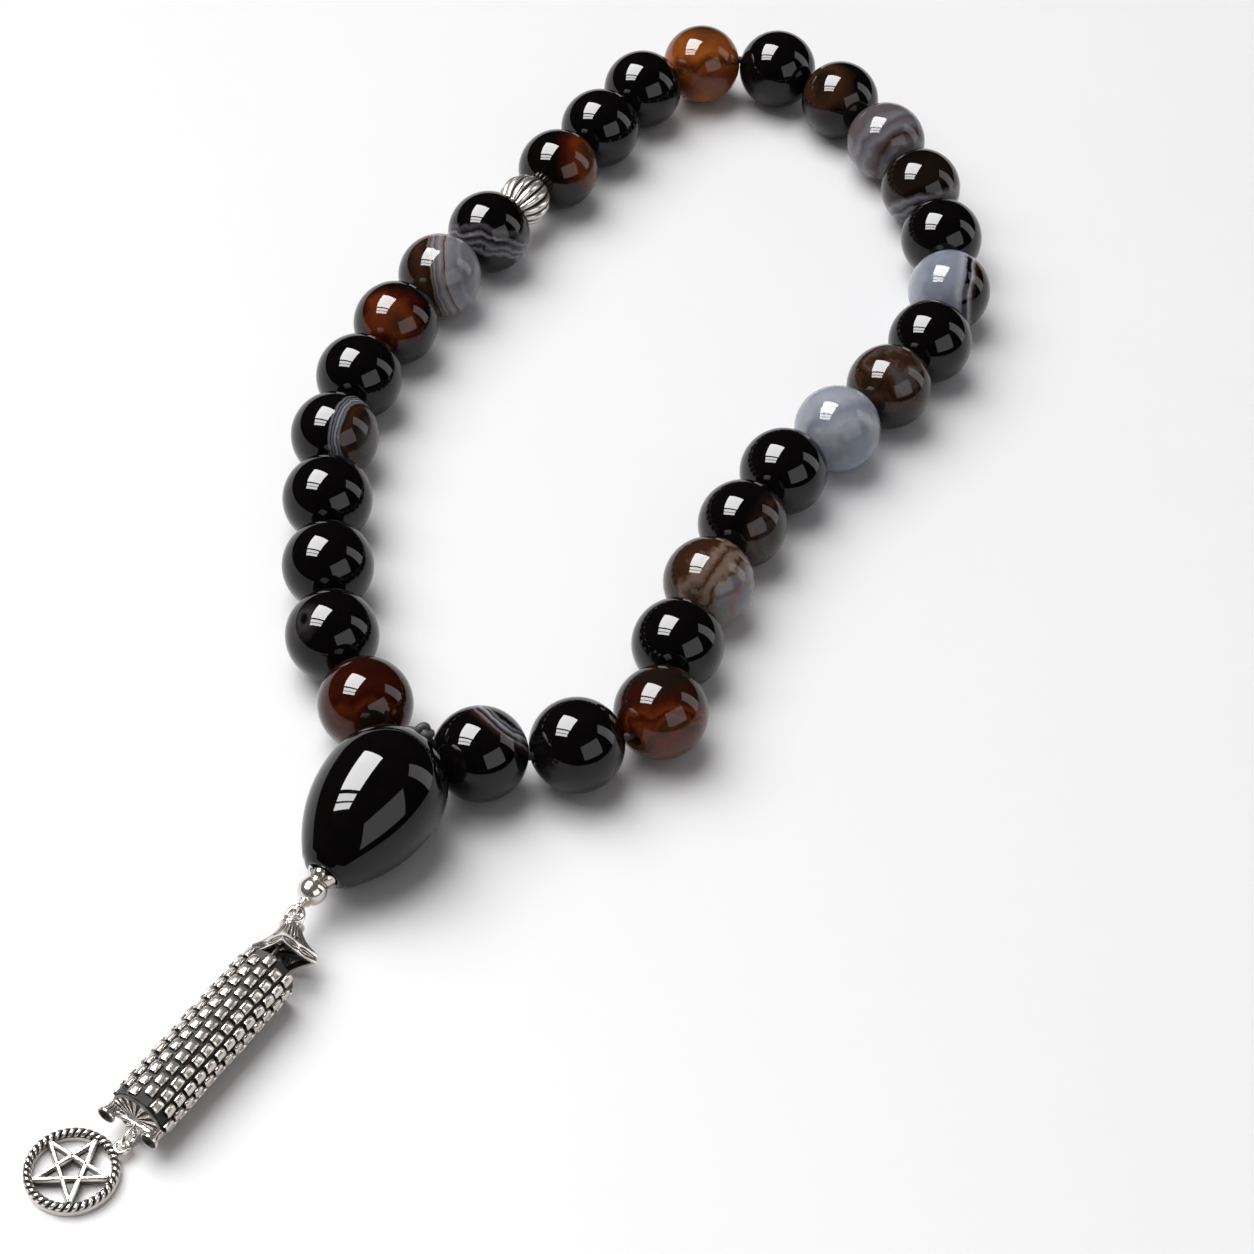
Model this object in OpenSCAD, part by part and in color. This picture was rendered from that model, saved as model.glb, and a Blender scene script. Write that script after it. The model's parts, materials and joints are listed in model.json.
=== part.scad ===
// Prayer beads laid in a loop on a table, with a leader bead, a linked metal tassel and a medallion.
// Millimetres, +Z up, the table is z = 0 and the origin is under the middle of the whole piece.

/* [Counting beads] */
// Diameter of a counting bead
bead_d = 9.8; // [8:0.1:12]
// Number of counting beads
bead_count = 29; // [24:1:32]
// Counting beads on the leader's left, before the spacer
beads_before_spacer = 9; // [5:1:15]
// Gap between neighbouring beads
bead_gap = 0.04; // [0.02:0.01:0.3]
// Gap between the first beads, where the strand lies slack
slack_gap = 0.32; // [0.05:0.01:0.5]
// Number of beads that lie so
slack_beads = 12; // [0:1:29]
// Hole through a bead
bead_bore_d = 1.6; // [1.5:0.1:2.2]
// Flat ground round each end of the hole
bead_flat_d = 2.4; // [2.3:0.1:3.2]

/* [Spacer] */
// Diameter of the fluted spacer
spacer_d = 6.2; // [5:0.1:8]
// Length of the spacer along the string
spacer_len = 5.4; // [4:0.1:7]
// Number of grooves in the spacer
spacer_grooves = 14; // [8:2:18]
// Radius of one groove
groove_r = 0.32; // [0.2:0.02:0.45]
// Gap between the spacer and the bead beside it
spacer_gap = 0.15; // [0.1:0.01:0.5]

/* [String] */
// Diameter of the string
string_d = 0.9; // [0.7:0.05:1.1]
// Diameter of the knot on the leader
knot_d = 2; // [1.8:0.1:2.6]

/* [Leader bead] */
// Length of the leader bead
leader_len = 17.4; // [15:0.1:24]
// Diameter of the leader at its widest
leader_d = 12.7; // [10:0.1:15]
// Diameter of its narrow end
leader_end_d = 4.5; // [3.8:0.1:5.5]
// Hole through the leader
leader_bore_d = 1.8; // [1.7:0.1:2.4]
// Share of the length between the wide end and the widest place
leader_wide_at = 0.39; // [0.3:0.01:0.5]

/* [Pin, ball and crown] */
// Wire of the eye pin
pin_d = 0.6; // [0.5:0.05:0.8]
// Diameter of the round ball
ball_d = 2.9; // [2.6:0.1:3.6]
// Width of the crown over its petal tips
crown_d = 3.3; // [3:0.1:4]
// Height of the crown, from the leader's end to its foot
crown_h = 0.85; // [0.8:0.05:1.2]
// Number of petals on the crown
crown_petals = 6; // [4:1:8]
// Radius of the eye, to the middle of its wire
eye_r = 0.65; // [0.6:0.05:0.9]
// Wire of the eye
eye_wire_d = 0.44; // [0.36:0.02:0.5]

/* [Bell cap] */
// Distance from the cap's axis to each of its four corners
cap_corner_r = 3.2; // [2.8:0.1:4]
// Length of the flared part
cap_flare_len = 2.5; // [2:0.1:3.5]
// Depth of the straight rim
cap_rim_len = 1.0; // [0.8:0.1:1.6]
// Wall of the cap
cap_wall = 0.4; // [0.3:0.05:0.6]
// Wire of the folded bail
bail_wire_d = 0.54; // [0.44:0.02:0.6]
// Radius of the bail, to the middle of its wire
bail_r = 0.75; // [0.7:0.05:1]
// Diameter of the collar under the bail
collar_d = 2.5; // [2.2:0.1:3]
// Thickness of the collar
collar_t = 0.3; // [0.2:0.05:0.5]

/* [Linked tube] */
// Outer diameter of the tube over its links
tube_d = 6.4; // [5.6:0.1:8]
// Length of the tube
tube_len = 19.6; // [14:0.1:30]
// Columns of links round the tube
link_columns = 14; // [10:2:18]
// Links in one column
link_rows = 13; // [8:1:18]
// Height of a link above the dark core
link_t = 0.5; // [0.3:0.05:0.7]
// Gap between the sides of neighbouring columns
link_side_gap = 0.3; // [0.15:0.05:0.5]
// Gap between the ends of links in one column
link_end_gap = 0.32; // [0.15:0.01:0.6]
// Wall of the core
core_wall = 0.5; // [0.3:0.05:0.8]
// Thickness of the core's closed foot
core_foot = 0.8; // [0.5:0.1:1.5]
// Distance from the cap's hanger bar to the tube
tube_drop = 2.3; // [2.2:0.1:4]

/* [Medallion] */
// Outer diameter of the medallion
medal_d = 8.7; // [7:0.1:12]
// Width of the medallion's rim
medal_rim_w = 0.85; // [0.6:0.05:1.2]
// Thickness of the medallion's rim
medal_t = 1.4; // [1:0.1:2]
// Width of a bar of the star
star_bar_w = 0.55; // [0.4:0.05:0.8]
// Thickness of the star
star_t = 0.9; // [0.6:0.05:1.3]
// Wire of the small rings at the foot
ring_wire_d = 0.46; // [0.34:0.02:0.5]
// Radius of the jump ring, to the middle of its wire
jump_r = 1.0; // [0.95:0.05:1.2]
// Radius of the two small loops beside it, to the middle of the wire
loop_r = 0.62; // [0.6:0.01:0.7]

/* [Hidden] */
// Heading of the leader from its narrow end to its wide end, and its rise above the table
leader_az = 64.4;
leader_el = 11.2;
// Where the leader's narrow end is on the table plan
leader_end_xy = [-22.3, -53.4];
// Headings of the cap, the tube and the medallion, from the leader outwards
cap_az = 265;
tube_az = 242;
medal_az = 214;
// Headings in which the first and the last bead lie from what they sit beside
first_bead_az = 139;
last_bead_az = 50;
// String in plan from the knot's centre to the first bead, then air from the last bead to the
// leader and to the knot
first_strand = 3.9;
shoulder_gap = 0.116;
knot_clear = 0.05;
// Plan of the loop between the first and the last bead: one point near each bead, to half a millimetre
ROUTE = [
    [-25.5, -23], [-27.5, -12.5], [-29, -2], [-29.5, 8], [-28, 18], [-25, 27.5], [-21, 36.5], [-16, 45.5],
    [-9, 58.5], [-4, 68.5], [1.5, 78], [9.5, 83.5], [18, 82.5], [25.5, 77], [31, 69.5], [35, 61.5],
    [37.5, 52.5], [38.5, 42], [36, 32], [30.5, 22.5], [24.5, 14.5], [18.5, 6], [14.5, -4], [11.5, -13],
    [9.5, -20.5], [8.5, -29], [1, -34]
];
ROUTE_STEPS = 6;
STRING_SIDES = 8;
small = 0.05;

// Vectors
function unit(v) = v / norm(v);
function heading(az, el = 0) = [cos(el) * cos(az), cos(el) * sin(az), sin(el)];
function azimuth(v) = atan2(v.y, v.x);
function elevation(v) = asin(v.z / norm(v));
function flat(p) = [p.x, p.y];
function total(v, i = 0, sum = 0) = i == len(v) ? sum : total(v, i + 1, sum + v[i]);

// Leader: its radius at a share s of its length, counted from the narrow end
leader_r = leader_d / 2;
leader_end_r = leader_end_d / 2;
leader_mouth_r = leader_bore_d / 2 + 0.3;
leader_taper = 2.25;
leader_dome = 1 - pow(leader_mouth_r / leader_r, 2);
function leader_radius(s) = s < 1 - leader_wide_at
    ? leader_end_r + (leader_r - leader_end_r) * (1 - pow(1 - s / (1 - leader_wide_at), leader_taper))
    : leader_r * sqrt(1 - leader_dome * pow((s - 1 + leader_wide_at) / leader_wide_at, 2));
// Height of the leader's axis at its narrow end, for the belly to touch the table
leader_low = min([for (i = [0:60])
    i / 60 * leader_len * sin(leader_el) - leader_radius(i / 60) * cos(leader_el)]);
leader_end = [leader_end_xy.x, leader_end_xy.y, -leader_low];
leader_dir = heading(leader_az, leader_el);
leader_side = heading(leader_az - 90);
leader_top = leader_end + leader_len * leader_dir;
knot_gap = 0.05;
knot_at = leader_top + (knot_gap + knot_d / 2) * leader_dir;

// First and last bead centres: one strand length from the knot, and just clear of the leader's shoulder
bead_r = bead_d / 2;
bead_half = sqrt(pow(bead_r, 2) - pow(bead_flat_d / 2, 2));
shoulder_s = 0.94;
shoulder = leader_end + shoulder_s * leader_len * leader_dir + leader_radius(shoulder_s) * leader_side;
knot_reach = knot_d * 0.62;
function last_spot(reach) = flat(shoulder) + reach * flat(heading(last_bead_az));
function leader_gap(p) = let (
        along = (p - leader_end) * leader_dir,
        out = norm(p - leader_end - along * leader_dir))
    min([for (i = [0:60]) norm([along - i / 60 * leader_len, out - leader_radius(i / 60)])]);
function is_clear(p) = leader_gap(p) >= bead_r + shoulder_gap
    && norm(p - knot_at) >= bead_r + knot_reach + knot_clear;
// The shortest reach at which the last bead clears both, found by halving
function least_reach(low, high, rounds) = rounds == 0 ? high
    : let (half = (low + high) / 2, spot = last_spot(half))
        is_clear([spot.x, spot.y, bead_r])
            ? least_reach(low, half, rounds - 1)
            : least_reach(half, high, rounds - 1);
first_bead = flat(knot_at) + (bead_r + first_strand) * flat(heading(first_bead_az));
last_bead = last_spot(least_reach(0, 3 * bead_d, 20));

// The loop as a smooth curve through the route, grown about the knot by a factor
function spline(a, b, c, d, t) =
    0.5 * (2 * b + (c - a) * t + (2 * a - 5 * b + 4 * c - d) * t * t + (3 * b - a - 3 * c + d) * t * t * t);
function grown(factor) = concat([first_bead],
    [for (p = ROUTE) flat(knot_at) + factor * (p - flat(knot_at))], [last_bead]);
function curve(points) = let (last = len(points) - 1) concat(
    [for (i = [0:last - 1], k = [0:ROUTE_STEPS - 1])
        spline(points[max(i - 1, 0)], points[i], points[i + 1], points[min(i + 2, last)], k / ROUTE_STEPS)],
    [points[last]]);
function lengthened(line) = let (n = len(line) - 1)
    concat(line, [line[n] + 8 * bead_d * unit(line[n] - line[n - 1])]);

// Walking along the curve in straight steps, each to the first point at the step's distance
function crossing(p, step, a, b) = let (
        along = b - a,
        from = a - p,
        qa = along * along,
        qb = 2 * (from * along),
        qc = from * from - step * step)
    a + along * (-qb + sqrt(qb * qb - 4 * qa * qc)) / (2 * qa);
function next_stop(p, step, line, i) = norm(line[i + 1] - p) >= step
    ? [crossing(p, step, line[i], line[i + 1]), i]
    : next_stop(p, step, line, i + 1);
function stops(steps, line, p, i = 0, k = 0, found = []) = k == len(steps)
    ? [found, i]
    : let (n = next_stop(p, steps[k], line, i)) stops(steps, line, n[0], n[1], k + 1, concat(found, [n[0]]));
function run(line, n) = total([for (i = [0:n - 1]) norm(line[i + 1] - line[i])]);

// Steps between neighbours, with the spacer as one more stop after the left-hand beads
stop_count = bead_count + 1;
function is_spacer(i) = i == beads_before_spacer;
function stop_half(i) = is_spacer(i) ? spacer_len / 2 : bead_r;
spacer_step = bead_half + spacer_gap + spacer_len / 2;
function gap_after(i) = i < slack_beads ? slack_gap : bead_gap;
STEPS = [for (i = [0:stop_count - 2]) is_spacer(i) || is_spacer(i + 1) ? spacer_step : bead_d + gap_after(i)];
// The growing factor at which the last step ends on the last bead's place
function stretch(factor) = let (
        line = curve(grown(factor)),
        last = len(line) - 1,
        walked = stops(STEPS, lengthened(line), first_bead),
        end = walked[0][len(STEPS) - 1])
    (run(line, min(walked[1], last)) + norm(end - lengthened(line)[walked[1]])) / run(line, last);
function fitted(factor, rounds) = rounds == 0 ? factor : fitted(factor * stretch(factor), rounds - 1);
loop_factor = fitted(1, 7);
plan = concat([first_bead], stops(STEPS, lengthened(curve(grown(loop_factor))), first_bead)[0]);
STOPS = [for (p = plan) [p.x, p.y, bead_r]];
function neighbour(i) = i < 0 || i >= stop_count ? knot_at : STOPS[i];
function stop_dir(i) = unit(neighbour(i + 1) - neighbour(i - 1));
function stop_of_bead(n) = n <= beads_before_spacer ? n - 1 : n;

// The string runs straight through each hole and bends where two neighbours meet
function mouth(i, side) = STOPS[i] + side * stop_half(i) * stop_dir(i);
function between(i) = (mouth(i, 1) + mouth(i + 1, -1)) / 2;
// Turn of the loop at a stop, in degrees, and the stops where it squeezes the string
squeeze_turn = 12;
squeeze_gap = 0.03;
function turn(i) = acos(min(1, unit(neighbour(i) - neighbour(i - 1)) * unit(neighbour(i + 1) - neighbour(i))));
function nearest_stop(i) = max(0, min(i, stop_count - 1));
function is_squeezed(i) = max([for (k = [i - 1:i + 1]) turn(nearest_stop(k))]) > squeeze_turn;
STRING = concat(
    [knot_at, mouth(0, -1)],
    [for (i = [0:stop_count - 1], k = [0:1]) k == 0 ? STOPS[i] : i < stop_count - 1 ? between(i) : mouth(i, 1)],
    [knot_at]);

// Pin, crown and ball, measured down the leader's axis from its narrow end
function on_pin(drop) = leader_end - drop * leader_dir;
end_gap = 0.03;
crown_at = end_gap;
ball_at = crown_at + 0.42 + ball_d / 2;
eye_at = ball_at + ball_d / 2 + eye_r + eye_wire_d / 2 + 0.05;
eye_far = eye_at + eye_r;
eye_hook = on_pin(eye_far);

// Cap, measured along its own axis from the hook of the eye
hook_play = 0.05;
bail_shift = bail_r - (eye_wire_d + bail_wire_d) / 2 - hook_play;
collar_at = bail_shift + bail_r + bail_wire_d / 2 - 0.1;
flare_at = collar_at + collar_t;
rim_at = flare_at + cap_flare_len;
cap_end = rim_at + cap_rim_len;
tube_axis_z = tube_d / 2 + 0.02;
cap_rest_z = cap_corner_r + 0.03;
cap_el = -asin((eye_hook.z - cap_rest_z) / cap_end);
function on_cap(d) = eye_hook + d * heading(cap_az, cap_el);
hanger_at = cap_end - 0.5;
hanger = [on_cap(hanger_at).x, on_cap(hanger_at).y, tube_axis_z];
hanger_d = 0.6;
hanger_wire_d = 0.4;
link_play = 0.06;
head_bar_d = 0.5;
head_bar_at = 0.3;
flare_power = 1.7;
corner_power = 1.25;

// Tube, measured along its own axis from its top end
tube_r = tube_d / 2;
function on_tube(d, up = 0) = hanger + (tube_drop + d) * heading(tube_az) + [0, 0, up];
core_apothem = tube_r - link_t;
link_pitch = tube_len / (link_rows + 0.5);
link_len = link_pitch - link_end_gap;
link_w = 2 * core_apothem * tan(180 / link_columns) - link_side_gap + 2 * link_t * tan(180 / link_columns);

// Rings at the tube's foot: eyelet, jump ring and the medallion's loop
ring_r = ring_wire_d / 2;
ring_play = 0.03;
jump_lean = 12;
jump_z = jump_r + ring_r + 0.05;
jump_hook = jump_r - 2 * ring_r - ring_play;
eyelet_lean = 76;
eyelet_hook = on_tube(tube_len + 0.75, jump_z + jump_hook * sin(jump_lean) - tube_axis_z);
jump_at = eyelet_hook + jump_hook * heading(tube_az, -jump_lean);
medal_hook = jump_at + jump_r * heading(tube_az, -jump_lean);
eyelet_at = eyelet_hook - loop_r * heading(tube_az, -eyelet_lean);
foot_bar_at = eyelet_hook - 2 * loop_r * heading(tube_az, -eyelet_lean);
foot_bar_d = 0.5;
prong_reach = tube_r - 0.75;
prong_z = foot_bar_at.z + 0.4;
medal_r = medal_d / 2;
medal_loop_shift = loop_r - (jump_r - jump_hook);
medal_at = flat(medal_hook) + (medal_loop_shift + loop_r + medal_r - 0.1) * flat(heading(medal_az));

// Middle of the piece on the table plan
low_x = min(concat([for (p = plan) p.x - bead_r], [medal_at.x - medal_r]));
high_x = max([for (p = plan) p.x + bead_r]);
low_y = medal_at.y - medal_r;
high_y = max([for (p = plan) p.y + bead_r]);
MIDDLE = [(low_x + high_x) / 2, (low_y + high_y) / 2, 0];

function two_figures(n) = n < 10 ? str("0", n) : str(n);
function bead_name(n) = str("bead_", two_figures(n));
function links_name(n) = str("links_", two_figures(n));

// Puts its children at p, with their +Z along the vector
module facing(p, v) {
    translate(p - MIDDLE) rotate([0, 90 - elevation(v), azimuth(v)]) children();
}

module wire_ring(r, d) {
    rotate_extrude($fn = 48) translate([r, 0]) circle(d = d, $fn = 24);
}

// A tube of straight stretches, with one ring of corners at each point
module swept(points, d, sides) {
    n = len(points);
    dirs = [for (i = [0:n - 1]) unit(points[min(i + 1, n - 1)] - points[max(i - 1, 0)])];
    corners = [for (i = [0:n - 1]) let (across = unit(cross(dirs[i], [0, 0, 1])), up = cross(across, dirs[i]))
        for (k = [0:sides - 1]) let (turned = 360 * k / sides)
            points[i] + d / 2 * (cos(turned) * across + sin(turned) * up)];
    walls = [for (i = [0:n - 2], k = [0:sides - 1]) let (next = (k + 1) % sides)
        [i * sides + k, (i + 1) * sides + k, (i + 1) * sides + next, i * sides + next]];
    ends = [[for (k = [0:sides - 1]) k], [for (k = [sides - 1:-1:0]) (n - 1) * sides + k]];
    polyhedron(points = corners, faces = concat(walls, ends), convexity = 10);
}

// Space that a bead leaves for the string: a little more than the bead, less its hole and the flats round it
module bead_cutter(i) {
    translate(STOPS[i]) rotate([0, 90 - elevation(stop_dir(i)), azimuth(stop_dir(i))]) difference() {
        sphere(r = stop_half(i) + squeeze_gap, $fn = 40);
        cylinder(d = bead_bore_d - 2 * squeeze_gap, h = bead_d + 1, center = true, $fn = 24);
        for (side = [0, 1]) mirror([0, 0, side]) translate([0, 0, bead_half + squeeze_gap])
            cylinder(d = bead_d, h = bead_r, $fn = 32);
    }
}

// Where the loop bends sharply the string is squeezed between two beads, into the space they leave
module string() {
    color("#141414") translate(-MIDDLE) difference() {
        swept(STRING, string_d, STRING_SIDES);
        for (i = [0:stop_count - 1]) if (!is_spacer(i) && is_squeezed(i)) bead_cutter(i);
    }
}

tail_len = leader_len - 4;
module string_tail() {
    color("#141414") facing(leader_top + knot_gap * leader_dir, -leader_dir)
        cylinder(d = leader_bore_d - 0.6, h = tail_len + knot_gap, $fn = 32);
}

module knot() {
    wrap_d = string_d * 0.8;
    color("#101010") facing(knot_at, leader_dir) rotate_extrude($fn = 48) {
        translate([0, -knot_d / 2]) square([knot_d / 2 - wrap_d / 2, knot_d]);
        for (side = [-1, 1]) translate([knot_d / 2 - wrap_d / 2, side * (knot_d - wrap_d) / 2])
            circle(d = wrap_d, $fn = 24);
        translate([knot_d / 2 - wrap_d * 0.35, 0]) circle(d = wrap_d, $fn = 24);
    }
}

module eye_pin() {
    head_up = leader_len - tail_len;
    color("silver") {
        facing(on_pin(eye_at - eye_r), leader_dir) cylinder(d = pin_d, h = eye_at - eye_r + head_up, $fn = 32);
        facing(on_pin(0.6 - head_up), leader_dir) cylinder(d = leader_bore_d - 0.4, h = 0.6, $fn = 32);
        facing(on_pin(eye_at), leader_side) wire_ring(eye_r, eye_wire_d);
    }
}

module leader_bead() {
    taper = [for (i = [1:18]) let (s = i / 18 * (1 - leader_wide_at)) [leader_radius(s), s * leader_len]];
    dome = [for (i = [1:16]) let (s = 1 - leader_wide_at * cos(90 * i / 16))
        [leader_radius(s), s * leader_len]];
    edge = [[leader_end_r - 0.55, 0], [leader_end_r - 0.15, 0.12], [leader_end_r + 0.05, 0.4]];
    color("#0b0b0c") facing(leader_end, leader_dir) difference() {
        rotate_extrude($fn = 64) polygon(concat([[0, 0]], edge, taper, dome, [[0, leader_len]]));
        translate([0, 0, -small]) cylinder(d = leader_bore_d, h = leader_len + 2 * small, $fn = 32);
    }
}

module crown_cap() {
    tip_r = crown_d / 2;
    foot_r = tip_r * 0.7;
    wall = 0.3;
    color("silver") facing(on_pin(crown_at), -leader_dir) difference() {
        rotate_extrude($fn = 48) polygon([
            [pin_d / 2 + 0.05, 0.1], [foot_r * 0.7, 0.1], [tip_r - wall, 0], [tip_r, 0], [foot_r * 1.1, 0.45],
            [foot_r + wall * 0.4, crown_h], [foot_r, crown_h], [foot_r * 0.9, 0.42], [pin_d / 2 + 0.05, 0.4]]);
        for (k = [0:crown_petals - 1]) rotate(360 / crown_petals * (k + 0.5))
            translate([tip_r, 0, -0.1]) rotate([0, 90, 0])
                cylinder(r = 0.42, h = tip_r, center = true, $fn = 24);
    }
}

module round_ball() {
    color("silver") facing(on_pin(ball_at), leader_dir) difference() {
        sphere(d = ball_d, $fn = 64);
        cylinder(d = pin_d + 0.1, h = ball_d + 1, center = true, $fn = 32);
    }
}

module drilled_bead(n) {
    color("#1d1a19") facing(STOPS[stop_of_bead(n)], stop_dir(stop_of_bead(n))) difference() {
        sphere(d = bead_d, $fn = 64);
        cylinder(d = bead_bore_d, h = bead_d + 1, center = true, $fn = 32);
        for (side = [0, 1]) mirror([0, 0, side]) translate([0, 0, bead_half])
            cylinder(d = bead_d, h = bead_r, $fn = 32);
    }
}

module spacer_bead() {
    end_r = spacer_d * 0.27;
    bulge = [for (a = [-60:15:60])
        [end_r + (spacer_d / 2 - end_r) * (2 * cos(a) - 1), spacer_len / 2 * sin(a) / sin(60)]];
    color("silver") facing(STOPS[beads_before_spacer], stop_dir(beads_before_spacer)) difference() {
        rotate_extrude($fn = 64) polygon(concat([[0, -spacer_len / 2]], bulge, [[0, spacer_len / 2]]));
        cylinder(d = bead_bore_d, h = spacer_len + 1, center = true, $fn = 32);
        for (k = [0:spacer_grooves - 1]) rotate(360 / spacer_grooves * k) translate([spacer_d / 2, 0, 0])
            cylinder(r = groove_r, h = spacer_len + 1, center = true, $fn = 24);
    }
}

// Folded bail: a loop through the eye, closed down on a short neck
module bail() {
    color("silver") {
        translate(on_cap(bail_shift) - MIDDLE) rotate([0, 0, cap_az]) wire_ring(bail_r, bail_wire_d);
        facing(on_cap(bail_shift + bail_r), heading(cap_az, cap_el))
            cylinder(d1 = bail_wire_d, d2 = collar_d - 0.6, h = collar_at - bail_shift - bail_r, $fn = 32);
    }
}

module collar() {
    color("silver") facing(on_cap(collar_at), heading(cap_az, cap_el))
        rotate_extrude($fn = 48) polygon([[0, 0], [collar_d / 2 - 0.1, 0], [collar_d / 2, collar_t / 2],
            [collar_d / 2 - 0.1, collar_t], [0, collar_t]]);
}

// Four-cornered flare: round at the neck, a diamond with hollow sides at the rim
module flare(inset, start, end) {
    turns = 32;
    neck_r = collar_d / 2 - 0.15;
    levels = concat([for (i = [0:8]) start + (1 - start) * i / 8], [end]);
    function corner(h) = neck_r + (cap_corner_r - neck_r) * pow(min(h, 1), flare_power) - inset;
    function round_off(h, a) = pow(1 / (abs(cos(a)) + abs(sin(a))), corner_power * min(1, pow(h, 1.2)));
    function height(h) = h <= 1 ? h * cap_flare_len : cap_flare_len + (h - 1) * cap_rim_len;
    rings = [for (h = levels, k = [0:turns - 1]) let (a = 360 * k / turns)
        [corner(h) * round_off(h, a) * cos(a), corner(h) * round_off(h, a) * sin(a), height(h)]];
    last = len(levels) - 1;
    walls = [for (i = [0:last - 1], k = [0:turns - 1]) let (next = (k + 1) % turns)
        [i * turns + k, (i + 1) * turns + k, (i + 1) * turns + next, i * turns + next]];
    lids = [[for (k = [0:turns - 1]) k], [for (k = [turns - 1:-1:0]) last * turns + k]];
    polyhedron(points = rings, faces = concat(walls, lids), convexity = 6);
}

module bell_cap() {
    color("silver") facing(on_cap(flare_at), heading(cap_az, cap_el)) difference() {
        flare(0, 0, 2);
        flare(cap_wall, 0.35, 2.2);
    }
}

hanger_bar_len = 2 * (cap_corner_r - cap_wall) + 0.2;
module hanger_bar() {
    color("dimgray") facing(hanger, heading(cap_az - 90))
        cylinder(d = hanger_d, h = hanger_bar_len, center = true, $fn = 32);
}

// Link from the bar in the cap to the bar across the tube's head
module hanger_link() {
    near = -(hanger_d + hanger_wire_d) / 2 - link_play;
    far = tube_drop + head_bar_at + (head_bar_d + hanger_wire_d) / 2 + link_play;
    color("dimgray") facing(hanger, heading(tube_az)) translate([0, 0, (near + far) / 2])
        rotate([90, 0, 0]) wire_ring((far - near) / 2, hanger_wire_d);
}

module core_tube() {
    outer = core_apothem / cos(180 / link_columns);
    corners = [for (k = [0:link_columns - 1]) let (turned = 360 / link_columns * k)
        outer * [cos(turned), sin(turned)]];
    color("#1a1a1a") facing(on_tube(0), heading(tube_az)) difference() {
        linear_extrude(height = tube_len) polygon(corners);
        translate([0, 0, -small])
            cylinder(r = core_apothem - core_wall, h = tube_len - core_foot + small, $fn = 48);
    }
}

// Bar across the tube's head, which the hanger link passes round
module head_bar() {
    color("dimgray") facing(on_tube(head_bar_at), heading(tube_az - 90))
        cylinder(d = head_bar_d, h = 2 * (core_apothem - core_wall), center = true, $fn = 32);
}

module link(column) {
    shift = column % 2 == 0 ? 0 : link_pitch / 2;
    for (row = [0:link_rows - 1])
        rotate(360 / link_columns * (column + 0.5))
            translate([core_apothem, -link_w / 2, row * link_pitch + shift + link_end_gap / 2])
                linear_extrude(height = link_len) polygon([
                    [0, 0], [link_t * 0.7, 0], [link_t, link_w * 0.2], [link_t, link_w * 0.8],
                    [link_t * 0.7, link_w], [0, link_w]]);
}

module link_pair(n) {
    color("silver") facing(on_tube(0), heading(tube_az)) for (side = [0, 1]) link(2 * (n - 1) + side);
}

module foot_bar() {
    color("silver") facing(foot_bar_at, heading(tube_az - 90))
        cylinder(d = foot_bar_d, h = 2 * prong_reach - 0.6, center = true, $fn = 32);
}

module prong(side) {
    at = on_tube(tube_len) + side * prong_reach * heading(tube_az - 90);
    color("silver") facing([at.x, at.y, prong_z], heading(tube_az)) rotate_extrude($fn = 32)
        polygon([[0, 0], [0.6, 0], [0.52, 0.5], [0.72, 1.0], [0.8, 1.3], [0.7, 1.45], [0, 1.3]]);
}

module foot_eyelet() {
    color("silver") facing(eyelet_at, heading(tube_az, 90 - eyelet_lean)) wire_ring(loop_r, ring_wire_d);
}

module jump_ring() {
    color("silver") facing(jump_at, heading(tube_az - 90)) wire_ring(jump_r, ring_wire_d);
}

module medallion_loop() {
    at = medal_hook + medal_loop_shift * heading(medal_az);
    color("silver") translate(at - MIDDLE) wire_ring(loop_r, ring_wire_d);
}

module medallion_rim() {
    color("silver") translate([medal_at.x, medal_at.y, 0] - MIDDLE) difference() {
        union() {
            cylinder(d = medal_d - 0.1, h = medal_t * 0.45, $fn = 96);
            translate([0, 0, medal_t - medal_rim_w / 2]) wire_ring(medal_r - medal_rim_w / 2, medal_rim_w);
        }
        translate([0, 0, -small]) cylinder(r = medal_r - medal_rim_w, h = medal_t * 0.45 + 2 * small, $fn = 96);
    }
}

// Five straight bars from tip to tip
module star() {
    reach = medal_r - medal_rim_w;
    bottom = (medal_t - star_t) / 2 + 0.15;
    color("silver") translate([medal_at.x, medal_at.y, bottom] - MIDDLE) linear_extrude(height = star_t)
        rotate(-82) for (k = [0:4]) let (a = 72 * k, b = 72 * (k + 2), mid = reach * cos(72))
            rotate(a + 72) translate([mid, 0]) square([star_bar_w, 2 * reach * sin(72)], center = true);
}

string();
string_tail();
knot();
eye_pin();
leader_bead();
crown_cap();
round_ball();
spacer_bead();
for (n = [1:bead_count]) drilled_bead(n);
bail();
collar();
bell_cap();
hanger_bar();
hanger_link();
core_tube();
head_bar();
for (n = [1:link_columns / 2]) link_pair(n);
foot_bar();
prong(-1);  // prong_left
prong(1);  // prong_right
foot_eyelet();
jump_ring();
medallion_loop();
medallion_rim();
star();
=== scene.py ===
# %% [markdown]
# # Agate prayer beads with a silver tassel
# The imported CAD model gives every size, place and joint. This lesson dresses it: polished agate,
# a braided cord and oxidised silver. We start by loading the frame and keeping its box.

# %% Load the frame
import json
import math

import bmesh
import bpy
import numpy as np
from mathutils import Matrix, Vector


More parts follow.
